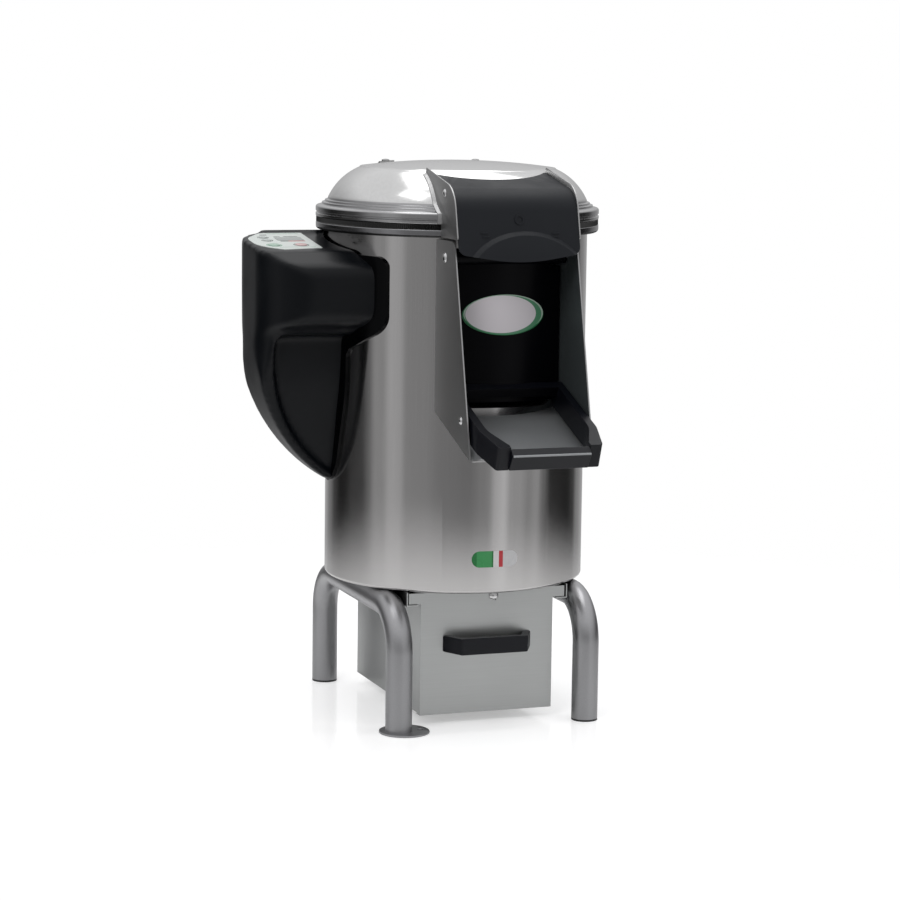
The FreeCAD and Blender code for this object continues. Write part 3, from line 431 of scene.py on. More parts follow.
# The seal is an extruded rubber strip bent into a ring, with fine upright flutes on
# its outer face.
FLUTES = 430
SEAL_R, SEAL_FOOT, SEAL_TOP = 0.2165, 0.7495, 0.7575
FLUTE_DEPTH = 0.0014
seal = lathe("lid_gasket", [(0.205, SEAL_FOOT), (SEAL_R, SEAL_FOOT), (SEAL_R, SEAL_FOOT + 0.001),
                            (SEAL_R, SEAL_TOP - 0.001), (SEAL_R, SEAL_TOP), (0.205, SEAL_TOP)], 2 * FLUTES)
bpy.ops.object.mode_set(mode="EDIT")
bpy.ops.mesh.select_all(action="DESELECT")
bpy.ops.object.mode_set(mode="OBJECT")
for vertex in seal.data.vertices:
    step = round(math.atan2(vertex.co.y, vertex.co.x) * FLUTES / math.pi)
    ring = SEAL_FOOT + 0.0005 < vertex.co.z < SEAL_TOP - 0.0005
    vertex.select = bool(step % 2) and ring and vertex.co.xy.length > SEAL_R - 0.001
bpy.ops.object.mode_set(mode="EDIT")
shrink = 1 - FLUTE_DEPTH / SEAL_R
bpy.ops.transform.resize(value=(shrink, shrink, 1), center_override=(0, 0, 0))
bpy.ops.object.mode_set(mode="OBJECT")


def moulded_grain():
    """The fine matt texture of a moulding tool, with faint paler scuffs."""
    group, given, sent = node_group(
        "moulded grain", {"Tone": "Color", "Roughness": "Float", "Scuff": "Float"},
        {"Colour": "Color", "Roughness": "Float", "Height": "Float"})
    place = add_node(group, "ShaderNodeTexCoord")
    pits = add_node(group, "ShaderNodeTexNoise", {"Scale": 1400.0, "Detail": 2.0})
    wear = add_node(group, "ShaderNodeTexNoise", {"Scale": 14.0, "Detail": 6.0})
    patch = add_node(group, "ShaderNodeMapRange", {"From Min": 0.45, "From Max": 0.75})
    amount = add_node(group, "ShaderNodeMath", operation="MULTIPLY")
    pale = add_node(group, "ShaderNodeMix", {7: (0.10, 0.105, 0.11, 1)}, data_type="RGBA")
    rough = add_node(group, "ShaderNodeMath", {1: 0.12}, operation="MULTIPLY_ADD")
    wire(group, (place.outputs["Object"], pits.inputs["Vector"]),
         (place.outputs["Object"], wear.inputs["Vector"]),
         (wear.outputs["Fac"], patch.inputs["Value"]), (patch.outputs[0], amount.inputs[0]),
         (given.outputs["Scuff"], amount.inputs[1]), (amount.outputs[0], pale.inputs[0]),
         (given.outputs["Tone"], pale.inputs[6]), (pale.outputs[2], sent.inputs["Colour"]),
         (patch.outputs[0], rough.inputs[0]), (given.outputs["Roughness"], rough.inputs[2]),
         (rough.outputs[0], sent.inputs["Roughness"]), (pits.outputs["Fac"], sent.inputs["Height"]))
    return group


MOULDED = moulded_grain()


def moulding(name, tone, roughness, scuff=0.05, depth=0.00006, specular=0.5):
    """A moulded plastic or rubber."""
    return textured(name, MOULDED, 0.3, depth, {"Specular IOR Level": specular},
                    {"Tone": (*tone, 1), "Roughness": roughness, "Scuff": scuff})


rubber = moulding("black rubber", (0.003, 0.003, 0.003), 0.28, scuff=0.02, specular=0.8)
fit(seal, "chassis", "rubber", rubber, "lid_seal")

# The lid is a spun steel dome with a slightly crowned top, fine turned steps at its
# foot and a grooved bead that covers the seal. It swings on the rear hinge.
LID_FOOT, LID_TOP = 0.7578, 0.844
BEAD_R = 0.2173
STEPS_R, STEPS_TOP = 0.197, 0.787
lid = lathe("lid", [(0, LID_TOP), (0.075, LID_TOP, 1.1), (0.1495, 0.8343), (0.151, 0.8326, 0.004),
                    (0.1825, 0.8174, 0.092), (0.1984, 0.7866), (0.1990, 0.7838), (0.2030, 0.7826),
                    (0.2036, 0.7802), (0.2076, 0.7790), (0.2082, 0.7764), (0.2120, 0.7752),
                    (BEAD_R, 0.7738, 0.0036), (BEAD_R, 0.7662), (BEAD_R - 0.0014, 0.7650),
                    (BEAD_R - 0.0014, 0.7636), (BEAD_R, 0.7624), (BEAD_R, LID_FOOT, 0.0018),
                    (0.1962, LID_FOOT), (0.1962, 0.782), (0.181, 0.8154, 0.09), (0.148, 0.8324),
                    (0.075, LID_TOP - SHEET, 1.1), (0, LID_TOP - SHEET)], 256, False, 10)
smooth(lid, 25)
steel_lid = steel("lid steel", (0.68, 0.68, 0.675), 0.15, (260, 260, 260), 0.00001)
fit(lid, "lid", "brushed_sheet", steel_lid, "lid_dome")
# Painted shade: the turned steps at the lid's foot get a darker copy of the lid's steel, which tones down the
# lamp's highlight on them.
repaint(lid, steel("lid foot painted shade steel", (0.45, 0.45, 0.455), 0.17, (260, 260, 260), 0.00001),
        lambda face: face.center.z < STEPS_TOP and face.center.xy.length > STEPS_R)


# The stand: two stainless tubes, each bent twice into an inverted U under one side of
# the drum, with a satin ground finish. The base is bolted down on them.
TUBE_R, TUBE_WALL = 0.020, 0.002
LEG_X, LEG_Y = 0.150, 0.186
RUN_Z, BEND_R = 0.186, 0.066
FOOT_H = 0.003
BEND_STEPS = 14


def leg_tube(name, x):
    """One tube: a ring pushed up from the floor, bent over, run back, bent down again."""
    bpy.ops.object.select_all(action="DESELECT")
    bpy.ops.mesh.primitive_circle_add(vertices=48, radius=TUBE_R, location=(x, -LEG_Y, FOOT_H))
    piece = bpy.context.object
    piece.name = piece.data.name = name
    bpy.ops.object.transform_apply(location=True)
    bpy.ops.object.mode_set(mode="EDIT")
    bend_z = RUN_Z - BEND_R
    for push in ((0, 0, bend_z - FOOT_H), None, (0, 2 * (LEG_Y - BEND_R), 0), None, (0, 0, FOOT_H - bend_z)):
        if push:
            bpy.ops.mesh.extrude_region_move(TRANSFORM_OT_translate={"value": push})
            side = -1 if push[1] == 0 else 1
        else:
            bpy.ops.mesh.spin(steps=BEND_STEPS, angle=math.pi / 2, axis=(1, 0, 0),
                              center=(x, side * (LEG_Y - BEND_R), bend_z))
    close_edit()
    apply(piece, "SOLIDIFY", thickness=TUBE_WALL, offset=-1)
    smooth(piece, 40)
    return piece


steel_tube = steel("satin tube", (0.40, 0.40, 0.41), 0.34, (500, 500, 500), 0.00003)
for side, x in (("left", -LEG_X), ("right", LEG_X)):
    fit(leg_tube("stand_tube_" + side, x), "chassis", "stand_tube", steel_tube, "frame_tube_" + side)


# Folded, cast and turned pieces keep the form they were drawn with. Each is a copy
# with its hard edges rounded as a press, a file or a mould leaves them.
def merged(piece):
    """Merges a mesh's doubles and joins its flat facets."""
    alone(piece)
    bpy.ops.object.mode_set(mode="EDIT")
    bpy.ops.mesh.select_all(action="SELECT")
    bpy.ops.mesh.remove_doubles(threshold=2 * WELD)
    bpy.ops.mesh.dissolve_limited(angle_limit=math.radians(0.5))
    bpy.ops.object.mode_set(mode="OBJECT")


def softened(node, name, edge, body, slot_name, material, degrees=35, segments=2):
    """A merged copy of a node with its edges rounded."""
    bpy.ops.object.select_all(action="DESELECT")
    piece = frame["nodes"][node].copy()
    piece.data = piece.data.copy()
    piece.name = piece.data.name = name
    piece.parent = None
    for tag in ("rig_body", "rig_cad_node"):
        if tag in piece:
            del piece[tag]
    bpy.context.scene.collection.objects.link(piece)
    merged(piece)
    apply(piece, "BEVEL", width=edge, segments=segments, limit_method="ANGLE",
          angle_limit=math.radians(degrees), use_clamp_overlap=True)
    smooth(piece, degrees)
    apply(piece, "WEIGHTED_NORMAL", keep_sharp=True)
    fit(piece, body, slot_name, material, node)
    return piece


steel_sheet = steel("sheet steel", (0.44, 0.44, 0.44), 0.42, UPRIGHT_GRAIN)
steel_drawer = steel("drawer steel", (0.49, 0.50, 0.495), 0.32, (12, 1300, 1300))
for side in ("left", "right"):
    softened("rail_" + side, "drawer_rail_" + side, 0.0003, "chassis", "brushed_sheet", steel_drawer)
softened("floor_plate", "foot_disc", 0.0008, "chassis", "stand_tube", steel_tube)
softened("hinge_straps", "lid_straps", 0.0005, "lid", "brushed_sheet", steel_sheet)
softened("hinge_bracket", "hinge_ears", 0.0005, "chassis", "brushed_sheet", steel_sheet)

# The chute: two folded cheeks welded to the drum's wall and a floor that slopes down
# to a rolled lip. The floor is worn to a duller finish.
chute = softened("chute", "chute_trough", 0.0005, "chassis", "brushed_sheet", steel_sheet)
CHUTE_MID_X, CHUTE_MID_Z = 0.05, 0.5
repaint(chute, steel("worn steel", (0.27, 0.28, 0.29), 0.5, (900, 30, 900), metallic=0.35),
        lambda face: face.normal.z > 0.8 and face.center.z < CHUTE_MID_Z)
# Painted shade: the right cheek's inner face gets a dark copy of the steel, for the shade and the black door
# that it mirrors.
repaint(chute, steel("cheek painted shade steel", (0.10, 0.115, 0.12), 0.42, (900, 900, 30), metallic=0.6),
        lambda face: face.normal.x < -0.8 and face.center.x > CHUTE_MID_X)

# The control box: a wide moulded case over a narrow one, blended into each other by
# soft radii, with a thin wall. It is screwed to the drum over the electrics.
BOX_X, BOX_FRONT, BOX_REAR = -0.333, -0.114, 0.086
BOX_WALL = 0.0035
PANEL_Z, PANEL_SLOPE = 0.7212, math.radians(6.8)
HUMP_Z, HUMP_END = 0.7355, -0.292
WIDE_FOOT, BOX_FOOT = 0.580, 0.347
NARROW_FRONT, NARROW_REAR = -0.046, 0.056
BELLY_Z, BELLY_R = 0.4343, 0.25
BOX_GRAIN = 0.003
BLEND_Z, BLEND_REACH, BLEND_BELOW = 0.595, 0.06, 0.12
SEAT_R = 0.205
GLAND_X, GLAND_Z, GLAND_R = -0.272, 0.640, 0.0102
KEY_GAP = 0.0008


def panel_height(y):
    """The sloping key panel's height at a Y value."""
    return PANEL_Z + math.tan(PANEL_SLOPE) * y


def trim_belly(piece, inset, inner, top):
    """Cuts a case to the box's bellied outline, as it is seen from the front."""
    outer, foot = BOX_X + inset, BOX_FOOT + inset
    cut(piece, plate("belly", [(inner, top), (outer, top), (outer, BELLY_Z, BELLY_R),
                               (-0.19 + inset * 0.5, foot), (inner, foot)], "XZ", -0.16, 0.16, 24),
        "INTERSECT")


def narrow_rear(inset):
    """The narrow case's rear line from its foot upwards, as it is seen from the side."""
    return [(0.017 - inset * 0.5, 0.361 + inset, 0.013), (0.029 - inset, 0.392, 0.06),
            (0.053 - inset, 0.52, 0.4), (NARROW_REAR - inset, 0.56), (NARROW_REAR - inset, 0.64)]


def case_solid(name, inset):
    """The two cases as one solid, moved inwards by an inset."""
    front, rear, outer = BOX_FRONT + inset, BOX_REAR - inset, BOX_X + inset
    wide = plate(name, [(front, panel_height(-0.072) - 0.023 - inset, 0.026),
                        (-0.074, panel_height(-0.074) - inset, 0.008),
                        (0.074 - inset, panel_height(0.074) - inset),
                        (0.076 - inset, HUMP_Z - inset), (rear, HUMP_Z - inset, 0.008),
                        (rear, 0.608 + inset, 0.026), (0.045, WIDE_FOOT + inset),
                        (-0.035, WIDE_FOOT + inset), (front, 0.608 + inset, 0.026)], "YZ", -0.345, -0.150)
    cut(wide, plate("plan", [(-0.149, front), (outer, front, 0.072 - inset), (outer, rear, 0.060 - inset),
                             (-0.149, rear)], "XY", 0.5, 0.8, 12), "INTERSECT")
    trim_belly(wide, inset, -0.15, 0.76)
    cut(wide, plate("hump_end", rectangle((-0.36, panel_height(0.0755) - inset), (HUMP_END + inset, 0.77)),
                    "XZ", 0.0745 - inset, 0.10))
    narrow = plate("narrow", [(NARROW_FRONT + inset, 0.64), (NARROW_FRONT + inset, 0.56),
                              (-0.043 + inset, 0.52, 0.4), (-0.019 + inset, 0.392, 0.06),
                              (-0.007 + inset * 0.5, 0.361 + inset, 0.013), *narrow_rear(inset)],
                   "YZ", -0.345, -0.151)
    cut(narrow, plate("narrow_plan", [(-0.1505, NARROW_FRONT + inset), (outer, NARROW_FRONT + inset, 0.045),
                                      (outer, NARROW_REAR - inset, 0.03), (-0.1505, NARROW_REAR - inset)],
                      "XY", 0.3, 0.66, 12), "INTERSECT")
    trim_belly(narrow, inset, -0.15, 0.76)
    cut(wide, narrow, "UNION")
    return wide


def drum_cutter(radius, low, high):
    """A round bar on the drum's axis."""
    bpy.ops.mesh.primitive_cylinder_add(vertices=192, radius=radius, depth=high - low,
                                        location=(0, 0, (low + high) / 2))
    return bpy.context.object


def on_panel(piece):
    """Tips a piece drawn flat at the origin on to the sloping key panel."""
    alone(piece)
    piece.rotation_euler = (PANEL_SLOPE, 0, 0)
    piece.location = (0, 0, PANEL_Z)
    bpy.ops.object.transform_apply(location=True, rotation=True)
    return piece


def disc(name, x, y, radius, low, high, steps=32):
    """An upright round bar between two heights."""
    bpy.ops.object.select_all(action="DESELECT")
    bpy.ops.mesh.primitive_cylinder_add(vertices=steps, radius=radius, depth=high - low,
                                        location=(x, y, (low + high) / 2))
    piece = bpy.context.object
    piece.name = piece.data.name = name
    bpy.ops.object.transform_apply(location=True)
    return piece


def laid_back(piece):
    """Turns an upright piece about the X axis, so that it points to the rear."""
    alone(piece)
    piece.rotation_euler = (-math.pi / 2, 0, 0)
    bpy.ops.object.transform_apply(rotation=True)
    return piece


box = case_solid("control_box", 0)
band = plate("band", [(-0.092, 0.640), (-0.076, 0.585), (-0.053, 0.500, 0.2), (-0.028, 0.392, 0.06),
                      (-0.013, 0.357, 0.012), *narrow_rear(0)], "YZ", -0.345, -0.1515)
trim_belly(band, 0, -0.14, 0.70)
cut(band, plate("band_hole", [(-0.13, 0.586), (-0.308, 0.586, 0.012), (-0.308, 0.4419, 0.22),
                              (-0.19, 0.3590), (-0.13, 0.3400)], "XZ", -0.11, 0.08, 24))
cut(band, plate("band_plan", [(-0.1515, -0.092), (BOX_X, -0.092, 0.062), (BOX_X, NARROW_REAR, 0.03),
                              (-0.1515, NARROW_REAR)], "XY", 0.3, 0.66, 12), "INTERSECT")
cut(box, band, "UNION")
apply(box, "REMESH", mode="VOXEL", voxel_size=BOX_GRAIN)
apply(box, "SMOOTH", factor=0.5, iterations=20)
blend = box.vertex_groups.new(name="blend")
for vertex in box.data.vertices:
    below = BLEND_BELOW * (vertex.co.z < 0.6)
    blend.add([vertex.index], max(below, 1 - abs(vertex.co.z - BLEND_Z) / BLEND_REACH), "REPLACE")
apply(box, "SMOOTH", factor=0.6, iterations=60, vertex_group="blend")
cut(box, case_solid("cavity", BOX_WALL + 0.004))
cut(box, drum_cutter(SEAT_R, 0.3, 0.8))
KEYS = {"start_key": (-0.300, -0.028, 0.009), "stop_key": (-0.258, -0.028, 0.009),
        "timer_up_key": (-0.300, 0.010, 0.006), "timer_down_key": (-0.300, 0.034, 0.006)}
for x, y, radius in KEYS.values():
    cut(box, on_panel(disc("key_hole", x, y, radius + KEY_GAP, -0.02, 0.01)))
cut(box, laid_back(disc("gland_hole", GLAND_X, -GLAND_Z, GLAND_R, 0.07, 0.10)))
smooth(box, 40)
black_cover = moulding("cover plastic", (0.0016, 0.0023, 0.0036), 0.33, 0.02, specular=0.22)
fit(box, "chassis", "black_plastic", black_cover, "control_cover")
glossy_black = moulding("glossy edge", (0.0004, 0.0005, 0.0008), 0.14, 0.0, specular=0.10)
softened("cover_edge", "control_box_edge", 0.0016, "chassis", "black_plastic", glossy_black, 30, 3)

# The key label: a pale printed sheet stuck on the sloping panel, with plain bars and
# rings for its printing, a dark display window and four moulded keys.
LABEL = [(-0.3265, 0.030, 0.045), (-0.3270, -0.034, 0.060), (-0.2930, -0.0625, 0.006),
         (-0.2320, -0.0525, 0.002), (-0.2295, 0.0735, 0.004), (-0.2950, 0.0735, 0.030)]
label = plate("key_label", LABEL, "XY", 0.0001, 0.0009)
window = rectangle((-0.284, 0.008), (-0.242, 0.034), 0.003)
for x, y, radius in KEYS.values():
    cut(label, disc("key_gap", x, y, radius + KEY_GAP / 2, -0.001, 0.003, 48))
cut(label, plate("window_gap", window, "XY", -0.001, 0.003))
pale = moulding("pale label", (0.58, 0.62, 0.60), 0.35, 0.02, 0.00001)
fit(on_panel(label), "chassis", "pale_label", pale, "control_label")
label.visible_glossy = False


def bar(name, x, y, height, material):
    """A printed bar between two X values and centred on a Y value."""
    piece = plate(name, rectangle((x[0], y - height / 2), (x[1], y + height / 2)), "XY", 0.0009, 0.0010)
    fit(on_panel(piece), "chassis", "pale_label", material)
    piece.visible_glossy = False


ink = moulding("grey ink", (0.10, 0.115, 0.11), 0.4, 0.0)
red_ink = moulding("red ink", (0.42, 0.11, 0.11), 0.4, 0.0)
green_ink = moulding("green ink", (0.19, 0.36, 0.26), 0.4, 0.0)
bar("bar_grey", (-0.2812, -0.2690), 0.0030, 0.0050, ink)
bar("bar_red", (-0.2688, -0.2427), 0.0030, 0.0050, red_ink)
bar("bar_upper_right", (-0.2660, -0.2440), 0.0400, 0.0036, ink)
bar("bar_upper_left", (-0.2820, -0.2720), 0.0400, 0.0028, ink)
bar("bar_top", (-0.3000, -0.2890), 0.0540, 0.0050, ink)
bar("bar_lower", (-0.2960, -0.2400), -0.0450, 0.0016, green_ink)
bar("bar_rear", (-0.2860, -0.2360), 0.0640, 0.0018, green_ink)


def key_ring(name, x, y, radius, material):
    """A printed ring round a key."""
    ring = disc(name, x, y, radius + 0.0030, 0.0009, 0.0010, 48)
    cut(ring, disc("ring_hole", x, y, radius + 0.0014, 0.0, 0.002, 48))
    fit(on_panel(ring), "chassis", "pale_label", material)
    ring.visible_glossy = False


key_plastic = {"start_key": moulding("green key", (0.34, 0.46, 0.39), 0.35, 0.0),
               "stop_key": moulding("red key", (0.52, 0.36, 0.36), 0.35, 0.0),
               "timer_up_key": moulding("grey key", (0.42, 0.45, 0.44), 0.4, 0.0)}
key_plastic["timer_down_key"] = key_plastic["timer_up_key"]
key_body = {"start_key": "start_button", "stop_key": "stop_button", "timer_up_key": "timer_up_button",
            "timer_down_key": "timer_down_button"}
for name, (x, y, radius) in KEYS.items():
    key = disc(name + "_cap", x, y, radius, -0.0065, 0.0022, 40)
    apply(key, "BEVEL", width=0.0007, segments=3, limit_method="ANGLE")
    smooth(key)
    fit(on_panel(key), key_body[name], "black_plastic", key_plastic[name], name)
    key.visible_glossy = False
    key_ring(name + "_ring", x, y, radius, green_ink if name == "start_key" else ink)
display = plate("display_glass", window, "XY", 0.00005, 0.0014)
apply(display, "BEVEL", width=0.0003, segments=2, limit_method="ANGLE")
glass = moulding("display glass", (0.27, 0.30, 0.29), 0.1, 0.0)
fit(on_panel(display), "chassis", "display", glass, "display_window")
display.visible_glossy = False

# The hood's cheeks: two upright steel plates whose narrow flange lies on the lid, with
# bright cut edges.
HOOD_TOP, HOOD_BROW, HOOD_FOOT = (-0.128, 0.838), (-0.2485, 0.813), (-0.2663, 0.7395)
BROW_R = 0.045
HOOD_REAR, HOOD_BEND = (-0.128, 0.8305), (-0.2488, 0.8070)
CHEEK_X = 0.096


def dome_solid(name, grow):
    """The space under the lid's outer face, grown outwards."""
    return lathe(name, [(0, LID_TOP + grow), (0.075, LID_TOP + grow, 1.1), (0.1495, 0.8343 + grow),
                        (0.151, 0.8326 + grow), (0.1825 + grow * 0.6, 0.8174 + grow * 0.9, 0.092),
                        (0.1984 + grow, 0.7866), (BEAD_R - 0.004 + grow, 0.7752), (BEAD_R + grow, 0.7738),
                        (BEAD_R + grow, 0.70), (0, 0.70)], 192, False, 10)


for side, out in (("left", -1), ("right", 1)):
    cheek = plate("hood_side_" + side, [HOOD_TOP, (*HOOD_BROW, BROW_R), (*HOOD_FOOT, 0.003), (-0.150, 0.7395),
                                        (-0.110, 0.79)], "YZ", out * CHEEK_X, out * (CHEEK_X - SHEET), 16)
    flange = dome_solid("flange", 0.0022)
    cut(flange, plate("strip", rectangle((-0.262, 0.7585), (-0.128, 0.85)), "YZ", out * (CHEEK_X + 0.005),
                      out * (CHEEK_X - 0.001)), "INTERSECT")
    cut(cheek, flange, "UNION")
    cut(cheek, dome_solid("lid_space", 0.0003))
    apply(cheek, "BEVEL", width=0.0004, segments=2, limit_method="ANGLE")
    smooth(cheek)
    fit(cheek, "lid", "brushed_sheet", steel_sheet, "hood_cheek_" + side)

# The hood: a black moulded panel bent over between the cheeks, with a shallow grip
# lip along its foot, an embossed ring and short dashes. Two screws hold it.
HOOD_X = CHEEK_X - SHEET - 0.0002
HOOD_TIP = (-0.2747, 0.705)
RING_X, RING_Z, RING_R, RING_HOLE_R = 0.002, 0.768, 0.0074, 0.0046
DASH_X, DASH_Z = 0.0055, 0.0009
DASHES = [(-0.0535, 0.7490), (-0.0515, 0.7435), (0.0570, 0.7480), (0.0555, 0.7430), (0.0690, 0.7245)]


def hood_sheet(name, outer, inner):
    """A bent sheet between two offsets inwards from the hood's line."""
    lines = []
    for inwards in (outer, inner):
        lines.append([(HOOD_REAR[0], HOOD_REAR[1] - inwards),
                      (HOOD_BEND[0] + inwards * 0.9, HOOD_BEND[1] - inwards * 0.85, BROW_R - inwards),
                      (HOOD_TIP[0] + inwards, HOOD_TIP[1])])
    return plate(name, lines[0] + lines[1][::-1], "YZ", -HOOD_X, HOOD_X, 16)


def hood_front():
    """The hood's outline as it is seen from the front, as a deep solid."""
    return plate("front", [(-HOOD_X, 0.86), (-HOOD_X, 0.7185, 0.012), (0, 0.704, 0.3),
                           (HOOD_X, 0.7185, 0.012), (HOOD_X, 0.86)], "XZ", -0.33, -0.09, 24)


black_hood = moulding("hood plastic", (0.0085, 0.0098, 0.0125), 0.45, 0.03, specular=0.2)
hood = hood_sheet("hood", 0.0004, 0.0044)
cut(hood, hood_front(), "INTERSECT")
lip = hood_sheet("hood_lip", -0.0052, 0.001)
bpy.ops.object.select_all(action="DESELECT")
bpy.ops.mesh.primitive_cone_add(vertices=160, radius1=0.1215, radius2=0.0855, depth=0.036,
                                location=(0.009, -0.279, 0.6595), rotation=(math.pi / 2, 0, 0),
                                scale=(1, 0.765, 1))
cut(lip, bpy.context.object, "INTERSECT")
cut(lip, hood_front(), "INTERSECT")
merged(lip)
apply(lip, "BEVEL", width=0.0005, segments=2, limit_method="ANGLE", angle_limit=math.radians(20))
smooth(lip, 14)
fit(lip, "lid", "black_plastic", black_hood)


def embossed(cutter):
    """Raises the hood's face a little inside a cutter."""
    mark = hood_sheet("hood_mark", -0.0008, 0.002)
    cut(mark, cutter, "INTERSECT")
    smooth(mark, 14)
    fit(mark, "lid", "black_plastic", black_hood)


emboss = disc("ring", RING_X, -RING_Z, RING_R, -0.32, -0.24, 48)
cut(emboss, disc("ring_hole", RING_X, -RING_Z, RING_HOLE_R, -0.33, -0.23, 48))
embossed(laid_back(emboss))
for x, z in DASHES:
    dash = rectangle((x - DASH_X, z - DASH_Z), (x + DASH_X, z + DASH_Z))
    embossed(plate("dash", dash, "XZ", -0.32, -0.24))
for x in (-HOOD_X, HOOD_X - 0.006):
    cut(hood, plate("lug", [(-0.220, 0.7955), (-0.200, 0.7955), (-0.200, 0.8135), (-0.220, 0.8085)],
                    "YZ", x, x + 0.006), "UNION")
cut(hood, dome_solid("lid_space", 0.0003))
merged(hood)
apply(hood, "BEVEL", width=0.0005, segments=2, limit_method="ANGLE", angle_limit=math.radians(30))
smooth(hood, 14)
fit(hood, "lid", "black_plastic", black_hood, "hood_panel")

# The door: a curved black pan hung from a barrel between the cheeks, with a bare oval
# badge, two sloping arms and a ridged grip, all moulded in gloss black.
REAR_BAR_Y, REAR_BAR_HALF = -0.2335, 0.08
RIDGE_R, RIDGE_LENGTH, RIDGE_Y, RIDGE_Z = 0.0016, 0.1185, -0.4078, 0.4438
black_door = moulding("door plastic", (0.0006, 0.0006, 0.0014), 0.28, 0.0, specular=0.1)
softened("door_panel", "door", 0.001, "door", "black_plastic", black_door)
black_frame = moulding("frame plastic", (0.0025, 0.003, 0.0055), 0.34, 0.02, specular=0.28)
arms = softened("door_arms", "door_frame", 0.0016, "door", "black_plastic", black_frame, 30, 3)
repaint(arms, black_door, lambda face: face.center.y > REAR_BAR_Y and abs(face.center.x) < REAR_BAR_HALF)
softened("door_grip", "door_handle", 0.0012, "door", "black_plastic", black_frame, 25, 3)
# A thin bead along the grip's ridge is coloured grey as a painted highlight, the line of light that the ridge
# catches.
bpy.ops.object.select_all(action="DESELECT")
bpy.ops.mesh.primitive_cylinder_add(vertices=20, radius=RIDGE_R, depth=RIDGE_LENGTH,
                                    location=(0, RIDGE_Y, RIDGE_Z), rotation=(0, math.pi / 2, 0))
ridge = bpy.context.object
ridge.name = ridge.data.name = "grip_ridge"
bpy.ops.object.transform_apply(location=True, rotation=True)
smooth(ridge)
fit(ridge, "door", "black_plastic", moulding("painted highlight ridge", (0.26, 0.27, 0.28), 0.3, 0.0))

BADGE_X, BADGE_Z, BADGE_HALF = -0.003, 0.626, (0.0635, 0.0300)
BADGE_BACK_R, BADGE_FACE_R = 0.2182, 0.2196
badge = lathe("badge", rectangle((BADGE_BACK_R, 0.59), (BADGE_FACE_R, 0.66)), 384)
bpy.ops.object.select_all(action="DESELECT")
bpy.ops.mesh.primitive_cylinder_add(vertices=96, radius=1, depth=0.1, location=(BADGE_X, -0.22, BADGE_Z),
                                    rotation=(math.pi / 2, 0, 0), scale=(BADGE_HALF[0], BADGE_HALF[1], 1))
cut(badge, bpy.context.object, "INTERSECT")
smooth(badge, 30)
badge_print = moulding("badge", (0.6, 0.6, 0.6), 0.3, 0.0, 0.00001)
tree = badge_print.node_tree


def ring_mask(tree, centre, halves):
    """The distance from a centre, as a share of an oval's half width and height."""
    spot = add_node(tree, "ShaderNodeTexCoord")
    moved = add_node(tree, "ShaderNodeVectorMath", {1: (centre[0], 0, centre[1])}, operation="SUBTRACT")
    scaled = add_node(tree, "ShaderNodeVectorMath", {1: (1 / halves[0], 0, 1 / halves[1])},
                      operation="MULTIPLY")
    share = add_node(tree, "ShaderNodeVectorMath", operation="LENGTH")
    wire(tree, (spot.outputs["Object"], moved.inputs[0]), (moved.outputs[0], scaled.inputs[0]),
         (scaled.outputs[0], share.inputs[0]))
    return share.outputs["Value"]


OVALS = (((BADGE_X + 0.0008, BADGE_Z + 0.0014), (0.0624, 0.0284), (0.36, 0.47, 0.39)),
         ((BADGE_X + 0.0002, BADGE_Z), (0.0602, 0.0290), (0.07, 0.22, 0.12)),
         ((BADGE_X - 0.0042, BADGE_Z + 0.0010), (0.0548, 0.0276), (0.60, 0.57, 0.60)))
badge_colour = None
for centre, halves, tone in OVALS:
    inside = add_node(tree, "ShaderNodeMath", {1: 1.0}, operation="LESS_THAN")
    layer = add_node(tree, "ShaderNodeMix", {6: (0.012, 0.13, 0.045, 1), 7: (*tone, 1)}, data_type="RGBA")
    wire(tree, (ring_mask(tree, centre, halves), inside.inputs[0]), (inside.outputs[0], layer.inputs[0]))
    if badge_colour:
        tree.links.new(badge_colour, layer.inputs[6])
    badge_colour = layer.outputs[2]
tree.links.new(badge_colour, tree.nodes["Principled BSDF"].inputs["Base Color"])
fit(badge, "door", "pale_label", badge_print)

# The drum's pill-shaped sticker: plain fields of green, white and red print under a
# clear gloss, stuck low on the drum's front.
PILL_LOW, PILL_HIGH, PILL_CORNER = (-0.0410, 0.2463), (0.0310, 0.2707), 0.0119
pill = lathe("drum_sticker", rectangle((DRUM_R - 0.0001, 0.24), (DRUM_R + 0.0005, 0.28)), 384)
cut(pill, plate("pill_outline", rectangle(PILL_LOW, PILL_HIGH, PILL_CORNER), "XZ", -0.24, -0.15, 12),
    "INTERSECT")
smooth(pill, 30)
pill_print = moulding("sticker", (0.6, 0.6, 0.6), 0.25, 0.0, 0.00001)
tree = pill_print.node_tree
spot = add_node(tree, "ShaderNodeTexCoord")
axes = add_node(tree, "ShaderNodeSeparateXYZ")
along = add_node(tree, "ShaderNodeMapRange", {"From Min": PILL_LOW[0], "From Max": PILL_HIGH[0]})
fields = add_node(tree, "ShaderNodeValToRGB")
fields.color_ramp.interpolation = "CONSTANT"
fill_ramp(fields, [(0.0, (0.015, 0.15, 0.04)), (0.10, (0.04, 0.25, 0.08)), (0.42, (0.015, 0.15, 0.04)),
                   (0.455, (0.58, 0.58, 0.58)), (0.575, (0.42, 0.03, 0.04)), (0.665, (0.50, 0.50, 0.51))])
wire(tree, (spot.outputs["Object"], axes.inputs[0]), (axes.outputs["X"], along.inputs["Value"]),
     (along.outputs[0], fields.inputs[0]),
     (fields.outputs[0], tree.nodes["Principled BSDF"].inputs["Base Color"]))
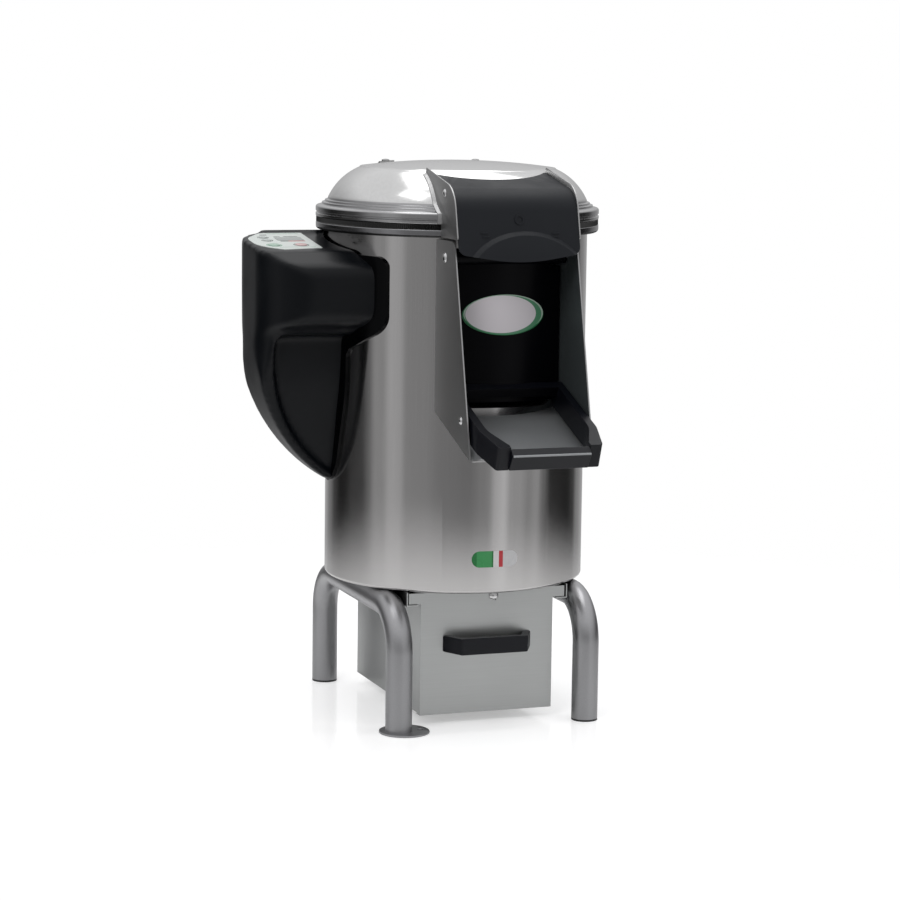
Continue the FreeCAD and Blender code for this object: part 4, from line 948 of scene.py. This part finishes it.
fit(pill, "chassis", "pale_label", pill_print)

# The peel drawer: a folded steel tray on two rails, a hemmed front, a slotted basket
# and a moulded bridge handle held by screws from behind.
softened("drawer_front", "drawer_face", 0.0005, "drawer", "brushed_sheet", steel_drawer)
softened("drawer_tray", "drawer_box", 0.0005, "drawer", "brushed_sheet", steel_drawer)
softened("drawer_handle", "drawer_pull", 0.002, "drawer", "black_plastic", black_frame, 30, 3)


# Fixings, drive and electrics keep the form that they were drawn with, and get their
# finish here: turned or cast metal, rubber, enamel, grit and plain plastic.
def metal(name, tone, roughness):
    """A steel with a fine even grain, for small pieces."""
    return steel(name, tone, roughness, (400, 400, 400), 0.00001)


bright = metal("turned steel", (0.72, 0.72, 0.72), 0.14)
inner_sheet = metal("inner sheet", (0.5, 0.5, 0.5), 0.35)
cast_iron = metal("cast housing", (0.22, 0.22, 0.23), 0.5)
cast_alloy = metal("cast alloy", (0.62, 0.62, 0.62), 0.4)
enamel = moulding("motor enamel", (0.035, 0.055, 0.085), 0.4)
grit = moulding("abrasive grit", (0.05, 0.045, 0.04), 0.85, 0.6, 0.0006)
plain_plastic = moulding("plain plastic", (0.012, 0.012, 0.013), 0.45)
board = moulding("circuit board", (0.01, 0.11, 0.04), 0.4)
FINISH = {bright: ["door_pivots", "catch_screws", "hood_screws", "base_bolts", "hinge_pin", "water_inlet",
                   "shaft_bearings", "drive_shaft", "motor_shaft", "drawer_catch", "disc_nut"],
          inner_sheet: ["base_plate", "chamber_floor", "motor_mount", "electrics_plate", "filter_basket"],
          cast_iron: ["bearing_housing"],
          cast_alloy: ["driven_pulley", "motor_pulley"],
          enamel: ["motor_body"],
          grit: ["abrasive_liner", "abrasive_disc"],
          rubber: ["foot_plugs", "drive_belt", "shaft_seal"],
          plain_plastic: ["cable_gland", "door_catches", "contactor", "terminal_block", "run_capacitor"],
          board: ["key_board"]}
for material, nodes in FINISH.items():
    for node in nodes:
        frame["nodes"][node].data.materials.clear()
        frame["nodes"][node].data.materials.append(material)
